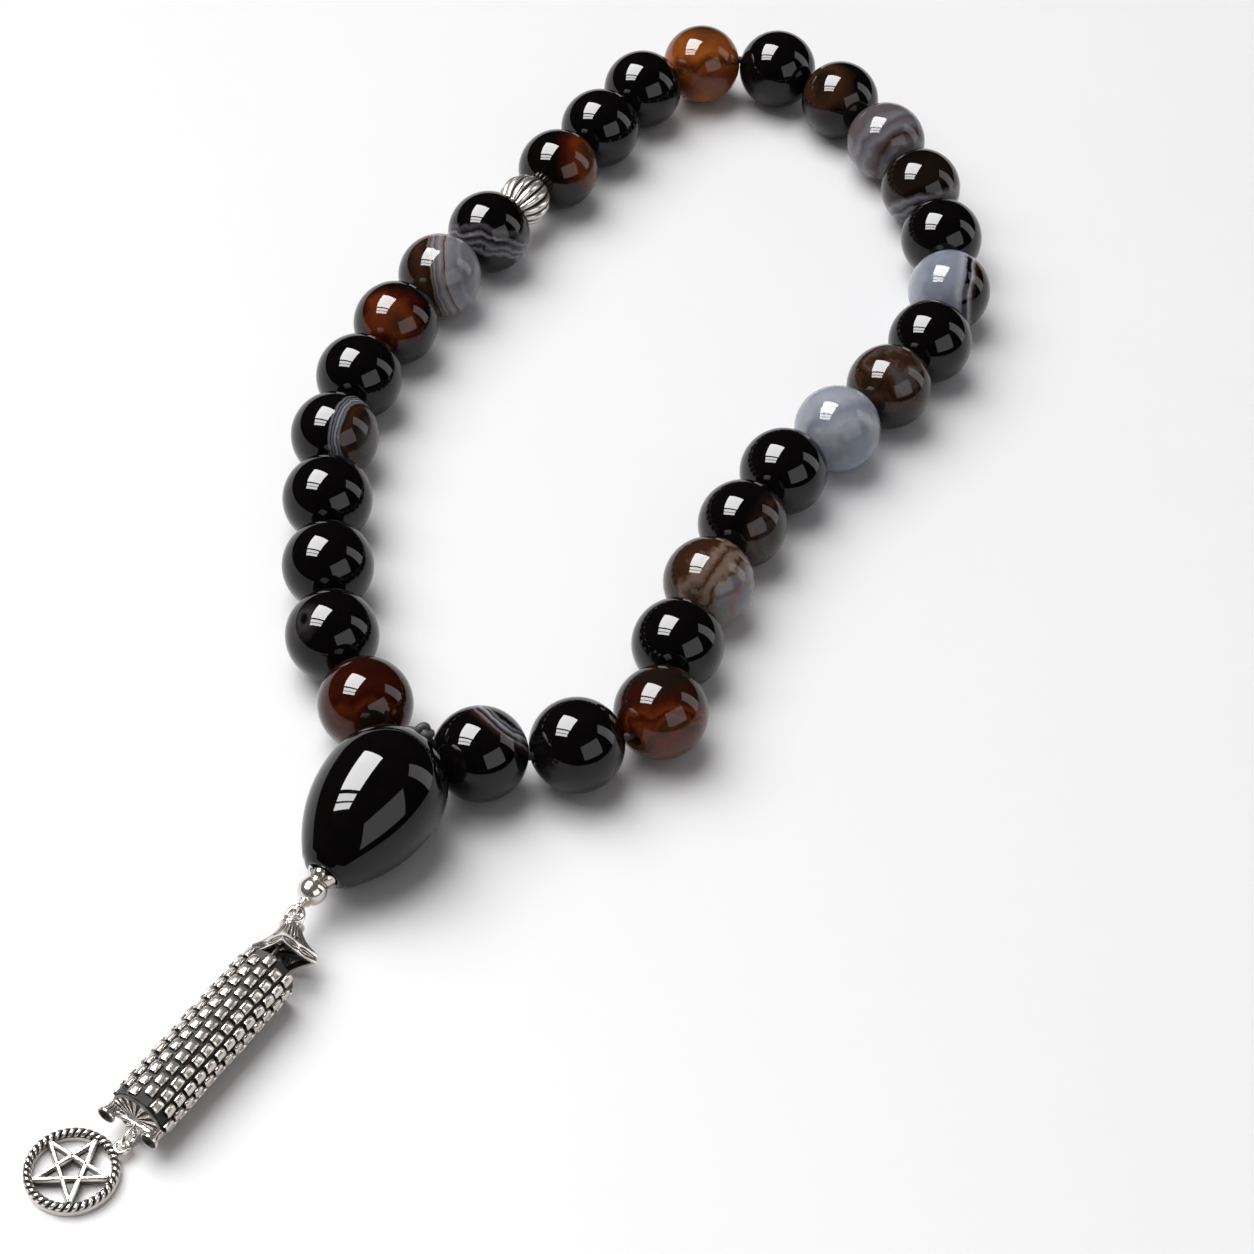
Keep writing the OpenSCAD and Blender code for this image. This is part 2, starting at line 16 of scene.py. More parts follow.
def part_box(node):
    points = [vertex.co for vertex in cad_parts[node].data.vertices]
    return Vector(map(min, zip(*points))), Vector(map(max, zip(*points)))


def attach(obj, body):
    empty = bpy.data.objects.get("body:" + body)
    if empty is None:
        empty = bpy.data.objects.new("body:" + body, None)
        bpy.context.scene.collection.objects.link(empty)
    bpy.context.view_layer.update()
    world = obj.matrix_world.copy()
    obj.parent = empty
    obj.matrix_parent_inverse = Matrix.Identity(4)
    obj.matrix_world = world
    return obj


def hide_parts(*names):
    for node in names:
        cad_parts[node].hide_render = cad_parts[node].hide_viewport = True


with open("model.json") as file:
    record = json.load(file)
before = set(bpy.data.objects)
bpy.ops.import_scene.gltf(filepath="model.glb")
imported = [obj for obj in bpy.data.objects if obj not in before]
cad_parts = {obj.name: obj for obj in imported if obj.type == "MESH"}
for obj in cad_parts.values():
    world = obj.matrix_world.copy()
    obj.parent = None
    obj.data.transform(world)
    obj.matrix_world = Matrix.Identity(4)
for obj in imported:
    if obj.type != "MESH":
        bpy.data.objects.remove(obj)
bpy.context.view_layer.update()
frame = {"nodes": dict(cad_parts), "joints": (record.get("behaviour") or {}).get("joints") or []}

MM = 0.001
pivots = {j["child"]: Vector(j["pos_m"]) for j in frame["joints"]}
axes = {j["child"]: Vector(j["axis"]).normalized() for j in frame["joints"]}

# %% [markdown]
# ## Camera
# The beads are seen from the front and well above, through a long lens, with the camera tipped a
# little to one side. A matrix built from three directions says this more plainly than three angles.

# %% Camera
CAMERA_PITCH = math.radians(46.62)
CAMERA_ROLL = math.radians(5.43)
CAMERA_AT = Vector((4.91, -222.27, 222.76)) * MM
CAMERA_LENS = 82.03

level_up = Vector((0, math.sin(CAMERA_PITCH), math.cos(CAMERA_PITCH)))
look = Vector((0, math.cos(CAMERA_PITCH), -math.sin(CAMERA_PITCH)))
view_right = math.cos(CAMERA_ROLL) * Vector((1, 0, 0)) + math.sin(CAMERA_ROLL) * level_up
view_up = view_right.cross(look)
camera = bpy.data.objects.new("camera", bpy.data.cameras.new("camera"))
camera.data.lens = CAMERA_LENS
camera.data.sensor_width = 36
camera.data.clip_start = 0.01
camera.matrix_world = Matrix((view_right, view_up, -look)).transposed().to_4x4()
camera.matrix_world.translation = CAMERA_AT
bpy.context.scene.collection.objects.link(camera)
bpy.context.scene.camera = camera
print("camera looks down", round(math.degrees(CAMERA_PITCH), 1), "degrees")

# %% [markdown]
# ## Shader maths in Python
# A finish is a small sum of masks. Wrapping a socket in a class lets us write that sum as Python,
# and each operator adds its own Math node. The same class serves the geometry trees further down.

# %% Sockets that can be added and multiplied
class Wire:
    """One output of a node. Sums, products and powers of wires add Math nodes."""

    def __init__(self, tree, out):
        self.tree, self.out = tree, out

    def math(self, operation, *values):
        return add_node(self.tree, "ShaderNodeMath", {"operation": operation}, dict(enumerate(values)))

    def __add__(self, other): return self.math("ADD", self, other)
    def __radd__(self, other): return self.math("ADD", other, self)
    def __sub__(self, other): return self.math("SUBTRACT", self, other)
    def __rsub__(self, other): return self.math("SUBTRACT", other, self)
    def __mul__(self, other): return self.math("MULTIPLY", self, other)
    def __rmul__(self, other): return self.math("MULTIPLY", other, self)
    def __truediv__(self, other): return self.math("DIVIDE", self, other)


def add_node(tree, kind, settings=None, inputs=None, output=0):
    """Adds a node: first its settings, with a ramp's stops as a list, then its inputs."""
    node = tree.nodes.new(kind)
    for key, value in (settings or {}).items():
        if key != "stops":
            setattr(node, key, value)
            continue
        ramp = node.color_ramp.elements
        while len(ramp) < len(value):
            ramp.new(0.5)
        for stop, (at, colour) in zip(ramp, sorted(value)):
            stop.position = at
        for stop, (at, colour) in zip(ramp, sorted(value)):
            stop.color = (*colour, 1)
    for key, value in (inputs or {}).items():
        if isinstance(value, Wire):
            tree.links.new(value.out, node.inputs[key])
        else:
            node.inputs[key].default_value = value
    return Wire(tree, node.outputs[output])


class Finish:
    """A material whose shader is one Principled BSDF, set from Python."""

    def __init__(self, name, **fixed):
        self.material = bpy.data.materials.new(name)
        self.material.use_nodes = True
        self.tree = self.material.node_tree
        self.shader = self.tree.nodes["Principled BSDF"]
        for key, value in fixed.items():
            self.shader.inputs[key.replace("_", " ")].default_value = value

    def node(self, kind, settings=None, inputs=None, output=0):
        return add_node(self.tree, kind, settings, inputs, output)

    def place(self):
        return self.node("ShaderNodeTexCoord", output="Object")

    def noise(self, vector, scale, detail=3, roughness=0.5):
        return self.node("ShaderNodeTexNoise", {}, {
            "Vector": vector, "Scale": scale, "Detail": detail, "Roughness": roughness})

    def mix(self, mask, low, high):
        colour = lambda c: c if isinstance(c, Wire) else (*c, 1)
        return self.node("ShaderNodeMix", {"data_type": "RGBA"}, {0: mask, 6: colour(low), 7: colour(high)}, 2)

    def drive(self, **links):
        for key, wire in links.items():
            self.tree.links.new(wire.out, self.shader.inputs[key.replace("_", " ")])
        return self.material


print("shader helpers ready")

# %% [markdown]
# ## Meshes from rings
# Nearly every piece here is a skin over rings of points: a turned bead, a wire, a fluted spacer.
# One helper joins the rings, one lathes a profile and one sweeps a round section along a path.

# %% Mesh helpers
def skin(rings, loop=False, hollow=None):
    """Points, faces and blackened shares of a tube over rings; a loop has no ends to cap."""
    rings = np.asarray(rings, float)
    count, sides, _ = rings.shape
    faces = [(i * sides + k, i * sides + (k + 1) % sides,
              (i + 1) % count * sides + (k + 1) % sides, (i + 1) % count * sides + k)
             for i in range(count if loop else count - 1) for k in range(sides)]
    if not loop:
        faces += [tuple(range(sides))[::-1], tuple((count - 1) * sides + k for k in range(sides))]
    dark = np.zeros(count * sides) if hollow is None else np.asarray(hollow, float).reshape(-1)
    return rings.reshape(-1, 3), faces, dark


def lathe(profile, sides, hollow=None):
    """Turns a closed profile of (radius, height) pairs about Z."""
    turn = np.linspace(0, 2 * math.pi, sides, endpoint=False)
    rings = [[(r * math.cos(a), r * math.sin(a), z) for a in turn] for r, z in profile]
    dark = None if hollow is None else [[h] * sides for h in hollow]
    return skin(rings, loop=True, hollow=dark)


def sweep(path, radius, sides, loop=False, hollow=None):
    """A wire along a path. radius is a number or a function of distance and angle."""
    path = [Vector(p) for p in path]
    n = len(path)
    after = lambda i: path[(i + 1) % n] if loop else path[min(i + 1, n - 1)]
    before = lambda i: path[i - 1] if loop else path[max(i - 1, 0)]
    side, run, rings, dark = None, 0, [], []
    for i, point in enumerate(path):
        ahead = (after(i) - before(i)).normalized()
        side = ahead.orthogonal() if side is None else side - ahead * side.dot(ahead)
        side = side.normalized()
        up = ahead.cross(side)
        angles = [2 * math.pi * k / sides for k in range(sides)]
        size = lambda a: radius(run, a) if callable(radius) else radius
        rings.append([point + size(a) * (math.cos(a) * side + math.sin(a) * up) for a in angles])
        dark.append([hollow(run, a) if hollow else 0 for a in angles])
        run += (after(i) - point).length
    return skin(rings, loop, dark)


def moved(part, matrix):
    points, faces, dark = part
    return np.array([matrix @ Vector(p) for p in points]), faces, dark


def facing(at, axis):
    """Places a piece at a point with its Z along the axis and its Y level."""
    z = axis.normalized()
    y = Vector((-z.y, z.x, 0)) if abs(z.z) < 0.999 else Vector((0, 1, 0))
    y.normalize()
    matrix = Matrix((y.cross(z), y, z)).transposed().to_4x4()
    matrix.translation = at
    return matrix


def middle(node):
    low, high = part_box(node)
    return (low + high) / 2


def as_object(name, parts, material, sharp=38):
    """One mesh of several parts, smooth but for edges sharper than the angle."""
    points, faces, dark = [], [], []
    for part in parts:
        start = len(points)
        points.extend(tuple(p) for p in part[0])
        faces.extend(tuple(i + start for i in face) for face in part[1])
        dark.extend(part[2])
    mesh = bpy.data.meshes.new(name)
    mesh.from_pydata(points, [], faces)
    mesh.attributes.new("hollow", "FLOAT", "POINT").data.foreach_set("value", np.array(dark, np.float32))
    shell = bmesh.new()
    shell.from_mesh(mesh)
    bmesh.ops.recalc_face_normals(shell, faces=shell.faces)
    shell.to_mesh(mesh)
    shell.free()
    mesh.polygons.foreach_set("use_smooth", [True] * len(mesh.polygons))
    mesh.set_sharp_from_angle(angle=math.radians(sharp))
    mesh.materials.append(material)
    made = bpy.data.objects.new(name, mesh)
    bpy.context.scene.collection.objects.link(made)
    return made


def fit(made, body, slot, *nodes):
    """Hangs a finished piece on its body, in place of its CAD nodes."""
    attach(made, body)
    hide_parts(*nodes)
    print(made.name, "on", body, len(made.data.polygons), "faces")
    return made


def ring_path(radius, steps, turns=1, pitch=0):
    """A circle in the XY plane, or a coil of several turns."""
    return [(radius * math.cos(a), radius * math.sin(a), pitch * a / (2 * math.pi))
            for a in np.linspace(0, 2 * math.pi * turns, steps, endpoint=turns != 1)]


# %% [markdown]
# ## Silver and cord
# The tassel is cast silver, blackened in its hollows and rubbed bright where fingers touch. Each
# mesh carries a "hollow" value on its points, so one finish serves bright wire and dark grooves.

# %% Silver
def silver(name, roughness, tarnish=0.3):
    finish = Finish(name, IOR=1.6)
    place = finish.place()
    stain = finish.noise(place, 900, 4, 0.6)
    scratch = finish.noise(place, 5200, 2)
    hollow = finish.node("ShaderNodeAttribute", {"attribute_name": "hollow"}, {}, "Fac")
    edge = finish.node("ShaderNodeMapRange", {"interpolation_type": "SMOOTHSTEP"}, {
        "Value": hollow + (stain - 0.5) * tarnish, "From Min": 0.25, "From Max": 0.75})
    metal = finish.mix(stain, (0.80, 0.77, 0.74), (0.60, 0.53, 0.47))
    bump = finish.node("ShaderNodeBump", {}, {"Strength": 0.12, "Distance": 0.00003, "Height": scratch})
    return finish.drive(
        Base_Color=finish.mix(edge, metal, (0.006, 0.005, 0.005)),
        Metallic=0.8 - 0.64 * edge,
        Roughness=roughness + 0.1 * stain + 0.25 * edge,
        Normal=bump)


BRIGHT = silver("bright_silver", 0.10)
SATIN = silver("satin_silver", 0.2)


def blackened():
    finish = Finish("blackened_silver")
    stain = finish.noise(finish.place(), 1400, 4, 0.7)
    return finish.drive(
        Base_Color=finish.mix(stain, (0.004, 0.004, 0.004), (0.03, 0.026, 0.022)),
        Metallic=0.2 + 0.4 * stain, Roughness=0.35 + 0.3 * stain,
        Normal=finish.node("ShaderNodeBump", {}, {"Strength": 0.3, "Distance": 0.00004, "Height": stain}))


BLACKENED = blackened()


def braid():
    finish = Finish("braided_cord", Sheen_Weight=0.2)
    fuzz = finish.noise(finish.place(), 4200, 4, 0.7)
    return finish.drive(
        Base_Color=finish.mix(fuzz, (0.004, 0.004, 0.005), (0.025, 0.024, 0.026)),
        Roughness=0.55 + 0.3 * fuzz,
        Normal=finish.node("ShaderNodeBump", {}, {"Strength": 0.5, "Distance": 0.00005, "Height": fuzz}))


BRAID = braid()
print("metal and cord finishes ready")

# %% [markdown]
# ## The string
# A waxed braid about a millimetre thick runs through every hole and back to the knot. Its path
# repeats the CAD route, which goes mouth to mouth through the beads. The woven look comes from two
# families of ridges that cross on the surface.

# %% The string's route
BEAD_R = 4.9 * MM
BEAD_HALF = math.sqrt(4.9 ** 2 - 1.2 ** 2) * MM
SPACER_LEN = 5.4 * MM
STRING_D = 0.9 * MM
BEADS = [f"bead_{n:02d}" for n in range(1, 30)]
STOPS = BEADS[:9] + ["spacer_bead"] + BEADS[9:]

knot_at = middle("knot")
half = lambda stop: SPACER_LEN / 2 if stop == "spacer_bead" else BEAD_HALF
mouth = lambda stop, side: pivots[stop] + side * half(stop) * axes[stop]
route = [knot_at, mouth(STOPS[0], -1)]
for stop, following in zip(STOPS, STOPS[1:] + [None]):
    route.append(pivots[stop])
    route.append((mouth(stop, 1) + mouth(following, -1)) / 2 if following else mouth(stop, 1))
route.append(knot_at)


def evenly(points, step):
    """The same line with a point every step."""
    fine = []
    for a, b in zip(points, points[1:]):
        count = max(1, round((b - a).length / step))
        fine += [a.lerp(b, i / count) for i in range(count)]
    return fine + [points[-1]]


def eased(points, rounds):
    """Corners rounded by averaging neighbours, with the ends kept."""
    for _ in range(rounds):
        points = ([points[0]]
                  + [(a + b * 2 + c) / 4 for a, b, c in zip(points, points[1:], points[2:])]
                  + [points[-1]])
    return points


line = eased(evenly(route, 0.22 * MM), 6)
STRING_LEN = sum((b - a).length for a, b in zip(line, line[1:]))
woven = lambda run, a: max(abs(math.sin(3 * a + run / (0.42 * MM))),
                           abs(math.sin(3 * a - run / (0.42 * MM))))
string = as_object("braided_string", [sweep(
    line, lambda run, a: STRING_D / 2 * (0.84 + 0.16 * woven(run, a)), 16)], BRAID, sharp=80)
fit(string, "strand", "cord", "string")
[tuple(p) for p in line[::4] + [line[-1]]]
print("string is", round(STRING_LEN * 1000, 1), "mm long")

# %% [markdown]
# ## The knot
# The two ends of the string are tied off on the leader. A trefoil, the simplest closed knot, swept
# with the same braid gives the look of an overhand knot pulled tight.

# %% The knot
low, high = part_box("knot")
knot_r = min(high - low) / 2
trefoil = [Vector((math.sin(a) + 2 * math.sin(2 * a), math.cos(a) - 2 * math.cos(2 * a),
                   -1.4 * math.sin(3 * a)))
           * knot_r * 0.2 for a in np.linspace(0, 2 * math.pi, 160, endpoint=False)]
knot = as_object("knot_of_braid", [moved(sweep(
    trefoil, lambda run, a: knot_r * (0.34 + 0.06 * woven(run, a)), 14, loop=True),
    facing(knot_at, axes["leader_bead"]))], BRAID, sharp=80)
fit(knot, "strand", "cord", "knot")

# %% [markdown]
# ## Agate
# Agate grows in layers, so its bands are shells round some far point. We measure each point's
# distance from a focus, ruffle it with noise, and look the result up in a ramp of colours. Every
# bead is a different cut: a direction to the focus, how curved and ruffled its layers are, and its
# own colours. In the brown stones the rust and amber layers are partly the stone's colour and partly
# painted glow of light passing through. Stones without bands share one black finish.

# %% Colours of the stones
JET = (0.0022, 0.0022, 0.0025)
SMOKE = (0.016, 0.009, 0.006)
COCOA = (0.055, 0.022, 0.011)
WINE = (0.045, 0.006, 0.003)
RUST = (0.16, 0.030, 0.007)
AMBER = (0.40, 0.110, 0.018)
BARK = (0.24, 0.065, 0.012)
ASH = (0.085, 0.075, 0.076)
STEEL = (0.22, 0.22, 0.25)
PEARL = (0.30, 0.30, 0.33)
MILK = (0.44, 0.46, 0.52)
ICE = (0.28, 0.31, 0.38)
MAUVE = (0.13, 0.108, 0.112)
SAND = (0.24, 0.165, 0.125)


def toward(right, up, out):
    """A direction as the camera sees it: right, up and out of the picture."""
    return (right * view_right + up * view_up - out * look).normalized()


def agate(name, centre, aim, bend, ruffle, colours, depth=0.0, grain=1.6):
    """Layers about a focus that lies bend bead radii away along aim."""
    finish = Finish(name, IOR=1.37, Subsurface_Weight=depth, Subsurface_Scale=0.0015)
    place = finish.node("ShaderNodeVectorMath", {"operation": "SUBTRACT"}, {0: finish.place(), 1: centre})
    place = finish.node("ShaderNodeVectorMath", {"operation": "SCALE"}, {0: place, "Scale": 1 / BEAD_R})
    focus = toward(*aim) * bend
    reach = finish.node("ShaderNodeVectorMath", {"operation": "DISTANCE"}, {0: place, 1: focus}, "Value")
    slow = finish.noise(place, grain, 3, 0.55)
    fine = finish.noise(place, grain * 7, 4, 0.65)
    layer = (bend - reach) * 0.5 + 0.5 + (slow - 0.5) * ruffle + (fine - 0.5) * ruffle * 0.12
    tint = finish.node("ShaderNodeValToRGB", {"stops": colours}, {"Fac": layer})
    cloud = finish.noise(place, 3.1, 2)
    tint = finish.mix(cloud * 0.35, tint, finish.mix(fine, JET, SMOKE))
    return finish.drive(Base_Color=tint, Roughness=0.018 + 0.03 * cloud)


# %% The cut of each stone
# The brown cuts' rust and amber layers are partly stone colour and partly painted glow of light passing
# through; in 13 and 27 they sit towards the lower side.
CUTS = {
    1: ("agate_brown", (0.1, -0.5, 0.8), 1.5, 0.9, 0.05,
        [(0, SMOKE), (0.35, (0.03, 0.004, 0.002)), (0.55, WINE),
        (0.66, (0.03, 0.004, 0.002)), (0.8, (0.1, 0.016, 0.004)), (0.9, WINE), (1, SMOKE)]),
    2: ("agate_black", (-0.5, 0.3, 0.8), 1.1, 0.25, 0, [(0, JET), (0.80, JET), (0.9, (0.02, 0.018, 0.02)),
        (0.96, (0.05, 0.045, 0.05)), (1, JET)]),
    5: ("agate_banded", (0.8, -0.05, 0.45), 2.2, 0.12, 0,
        [(0, JET), (0.60, JET), (0.625, STEEL), (0.64, JET),
        (0.665, STEEL), (0.68, SMOKE), (0.70, MILK), (0.715, ASH), (0.74, STEEL), (0.76, SMOKE),
         (0.80, COCOA),
        (0.90, SMOKE), (1, ASH)]),
    7: ("agate_brown", (-0.05, 0.1, 1), 1.2, 0.6, 0.05, [(0, JET), (0.55, JET), (0.72, WINE), (0.86, RUST),
        (1, COCOA)]),
    8: ("agate_banded", (1, 0.15, 0.15), 5, 0.12, 0.1,
        [(0, SMOKE), (0.2, SMOKE), (0.34, COCOA), (0.42, SMOKE),
        (0.44, SAND), (0.46, ASH), (0.485, PEARL), (0.50, MAUVE), (0.56, PEARL), (0.60, SAND),
         (0.615, COCOA),
        (0.63, PEARL), (0.75, STEEL), (0.8, PEARL), (0.84, STEEL), (1, PEARL)]),
    9: ("agate_banded", (0.1, 1, 0), 2.0, 0.22, 0, [(0, JET), (0.10, JET), (0.14, STEEL), (0.17, JET),
        (0.20, STEEL), (0.225, ASH), (0.26, JET), (0.29, STEEL), (0.32, JET), (0.37, ASH), (0.40, JET),
         (1, JET)]),
    10: ("agate_brown", (0.75, 0.25, 0.5), 1.4, 0.4, 0.05,
         [(0, JET), (0.55, JET), (0.70, WINE), (0.85, RUST),
         (1, COCOA)]),
    # Amber towards the lower side: partly stone colour, partly painted glow of light passing through.
    13: ("agate_brown", (0.1, -1, 0.1), 1.8, 0.5, 0.15,
         [(0, COCOA), (0.2, BARK), (0.34, AMBER), (0.44, BARK),
         (0.50, RUST), (0.53, COCOA), (0.57, BARK), (0.72, RUST), (0.86, BARK), (1, AMBER)]),
    15: ("agate_black", (-0.5, 0.3, 0.8), 1.3, 0.5, 0, [(0, JET), (0.6, JET), (0.8, COCOA), (1, SMOKE)]),
    16: ("agate_banded", (0.5, -0.7, 0.5), 1.8, 0.25, 0.1,
         [(0, MAUVE), (0.3, MAUVE), (0.40, STEEL), (0.47, MAUVE),
         (0.56, STEEL), (0.62, MAUVE), (0.70, COCOA), (0.75, MAUVE), (0.84, STEEL), (0.9, MAUVE), (1, ASH)]),
    17: ("agate_banded", (-0.3, 1, 0.1), 2.0, 0.18, 0, [(0, JET), (0.14, JET), (0.18, STEEL), (0.21, JET),
         (0.27, STEEL), (0.30, ASH), (0.33, JET), (0.40, SMOKE), (1, JET)]),
    19: ("agate_banded", (1, -0.1, 0.1), 2.0, 0.12, 0.1, [(0, MILK), (0.18, ICE), (0.42, ICE), (0.50, MILK),
         (0.54, ICE), (0.565, JET), (0.61, JET), (0.635, MILK), (0.66, STEEL), (0.69, COCOA), (0.74, JET),
         (1, JET)]),
    21: ("agate_brown", (0.1, 0.5, 0.6), 1.6, 0.8, 0.05,
         [(0, JET), (0.42, SMOKE), (0.58, COCOA), (0.66, SMOKE),
         (0.74, COCOA), (0.82, ASH), (0.9, COCOA), (1, SMOKE)]),
    22: ("agate_pale", (0.3, -0.6, 0.5), 3, 0.3, 0.35, [(0, ICE), (0.4, MILK), (0.55, ICE), (0.7, MILK),
         (1, ICE)]),
    24: ("agate_banded", (0.9, -0.3, 0.4), 2.6, 0.35, 0,
         [(0, JET), (0.58, JET), (0.72, SMOKE), (0.78, COCOA),
         (0.82, SMOKE), (0.88, (0.045, 0.034, 0.03)), (1, SMOKE)]),
    25: ("agate_banded", (0.8, -0.5, 0.3), 2.2, 0.5, 0.1,
         [(0, SMOKE), (0.28, COCOA), (0.36, SAND), (0.46, COCOA),
         (0.52, SAND), (0.60, SAND), (0.66, COCOA), (0.70, SAND), (0.80, STEEL), (0.9, SAND), (1, STEEL)]),
    # Rust towards the lower front: partly stone colour, partly painted glow of light passing through.
    27: ("agate_brown", (0.1, -0.7, 0.5), 1.5, 0.7, 0.1,
         [(0, SMOKE), (0.30, SMOKE), (0.45, WINE), (0.58, RUST),
         (0.64, WINE), (0.74, RUST), (0.80, COCOA), (1, RUST)]),
    29: ("agate_banded", (0.6, 0.8, 0.05), 2.0, 0.12, 0,
         [(0, JET), (0.66, JET), (0.70, SMOKE), (0.73, COCOA),
         (0.755, STEEL), (0.775, JET), (0.80, ASH), (0.83, MILK), (0.85, SMOKE), (0.875, STEEL), (0.90, JET),
         (1, SMOKE)]),
}
BLACK = agate("black_agate", (0, 0, 0), (0, 0, 1), 2, 0.4,
              [(0, JET), (0.5, JET), (0.8, (0.004, 0.003, 0.003)), (1, JET)])
print("cut stones:", len(CUTS), "plain black:", len(BEADS) - len(CUTS))

# %% [markdown]
# ## Counting beads
# Each bead is a ball with a drilled hole and a small flat where its neighbour touches. A turned
# profile has no pole to pinch the reflections, so the gloss stays clean.

# %% Counting beads
BORE_R = 0.8 * MM
flat_angle = math.asin(BEAD_HALF / BEAD_R)
arc = [(BEAD_R * math.cos(a), BEAD_R * math.sin(a)) for a in np.linspace(-flat_angle, flat_angle, 49)]
lip = 0.08 * MM
bead_profile = arc + [(BORE_R + lip, BEAD_HALF), (BORE_R, BEAD_HALF - lip),
                      (BORE_R, -BEAD_HALF + lip), (BORE_R + lip, -BEAD_HALF)]
bead_part = lathe(bead_profile, 88)
for n, bead in enumerate(BEADS, 1):
    stone, slot = BLACK, "agate_black"
    if n in CUTS:
        slot, aim, bend, ruffle, depth, colours = CUTS[n]
        stone = agate(f"agate_{n:02d}", pivots[bead], aim, bend, ruffle, colours, depth)
    made = as_object(f"{bead}_stone", [moved(bead_part, facing(pivots[bead], axes[bead]))], stone)
    fit(made, bead, slot, bead)

# %% [markdown]
# ## Leader bead
# The long drop that gathers both ends of the string. Its outline is a taper that bulges towards the
# dome, the same curve as in the CAD, turned with many more steps for an even reflection.

# %% Leader bead
LEADER_LEN, LEADER_R, LEADER_END_R = 17.4 * MM, 6.35 * MM, 2.25 * MM
LEADER_BORE_R, WIDE_AT, TAPER = 0.9 * MM, 0.39, 2.25
dome = 1 - ((LEADER_BORE_R + 0.3 * MM) / LEADER_R) ** 2


def leader_radius(s):
    if s < 1 - WIDE_AT:
        return LEADER_END_R + (LEADER_R - LEADER_END_R) * (1 - (1 - s / (1 - WIDE_AT)) ** TAPER)
    return LEADER_R * math.sqrt(1 - dome * ((s - 1 + WIDE_AT) / WIDE_AT) ** 2)


shares = (list(np.linspace(0.04, 1 - WIDE_AT, 40))
          + [1 - WIDE_AT * math.cos(a) for a in np.linspace(0, math.pi / 2, 34)][1:])
edge = [(LEADER_END_R - 0.55 * MM, 0), (LEADER_END_R - 0.3 * MM, 0.03 * MM),
        (LEADER_END_R - 0.1 * MM, 0.12 * MM),
        (LEADER_END_R + 0.06 * MM, 0.32 * MM)]
leader_profile = edge + [(leader_radius(s), s * LEADER_LEN) for s in shares]
leader_profile += [(LEADER_BORE_R, LEADER_LEN - 0.1 * MM), (LEADER_BORE_R, 0.1 * MM)]
leader_place = facing(pivots["leader_bead"], axes["leader_bead"])
leader = as_object("leader_stone", [moved(lathe(leader_profile, 120), leader_place)], BLACK)
fit(leader, "leader_bead", "leader_stone", "leader_bead")

# %% [markdown]
# ## Fluted spacer
# A small silver melon marks the tens. Its grooves are narrow and black and its ribs round, which is
# a rule on the angle, so the rings are computed rather than carved.

# %% Fluted spacer
RIBS = 14
spacer_r, spacer_end = 3.1 * MM, 0.27 * 6.2 * MM


def spacer_rings(ribs, steps=12):
    turn = np.linspace(0, 2 * math.pi, ribs * steps, endpoint=False)
    rib = np.abs(np.cos(turn * ribs / 2)) ** 0.8
    rings, dark = [], []
    for a in np.linspace(-60, 60, 31):
        r = spacer_end + (spacer_r - spacer_end) * (2 * math.cos(math.radians(a)) - 1)
        z = SPACER_LEN / 2 * math.sin(math.radians(a)) / math.sin(math.radians(60))
        depth = 0.5 * MM * (0.35 + 0.65 * math.cos(math.radians(a * 1.4)))
        rings.append([((r - depth * (1 - f)) * math.cos(t), (r - depth * (1 - f)) * math.sin(t), z)
                      for t, f in zip(turn, rib)])
        dark.append([max(0, 1.9 - 2.6 * f) for f in rib])
    for z in (SPACER_LEN / 2, -SPACER_LEN / 2):
        rings.append([(BORE_R * math.cos(t), BORE_R * math.sin(t), z) for t in turn])
        dark.append([1] * len(turn))
    return rings, dark


rings, dark = spacer_rings(RIBS)
spacer = as_object("fluted_spacer",
                   [moved(skin(rings, True, dark), facing(pivots["spacer_bead"], axes["spacer_bead"]))],
                   SATIN, 60)
fit(spacer, "spacer_bead", "silver", "spacer_bead")

# %% [markdown]
# ## Ball and crown
# A polished ball sits under the leader, held by a small crown whose petals spread over the stone.
# The petals are one wall whose edge rises and falls round the crown.

# %% Ball and crown
BALL_R, PIN_R = 1.45 * MM, 0.35 * MM
pole = math.acos(PIN_R / BALL_R)
ball_profile = [(BALL_R * math.cos(a), BALL_R * math.sin(a)) for a in np.linspace(-pole, pole, 41)]
ball = as_object("polished_ball",
                 [moved(lathe(ball_profile, 72), facing(pivots["round_ball"], axes["leader_bead"]))], BRIGHT)
fit(ball, "round_ball", "silver", "round_ball")

PETALS, CROWN_R, CROWN_H, PETAL_WALL = 6, 1.65 * MM, 0.85 * MM, 0.26 * MM


def crown_rings(steps=20):
    turn = np.linspace(0, 2 * math.pi, PETALS * steps, endpoint=False)
    rings, dark = [], []
    for share, inner in ([(s, False) for s in np.linspace(0, 1, 14)]
                         + [(s, True) for s in np.linspace(1, 0, 14)]):
        ring = []
        for t in turn:
            petal = abs(math.cos(t * PETALS / 2)) ** 0.7
            tip = 0.04 + 0.42 * (1 - petal)
            z = CROWN_H * (1 - share * (1 - tip))
            r = (CROWN_R * (0.70 + 0.30 * share ** 1.6 * (0.6 + 0.4 * petal))
                 - 0.08 * MM * (1 - petal) * share)
            bulge = 0.16 * MM * math.sin(math.pi * min(1, share * 1.1)) * petal
            r = r + bulge - (PETAL_WALL if inner else 0)
            ring.append((r * math.cos(t), r * math.sin(t), z))
        rings.append(ring)
        dark.append([1 if inner else 0.8 * (1 - abs(math.cos(t * PETALS / 2)) ** 0.7) for t in turn])
    return rings, dark


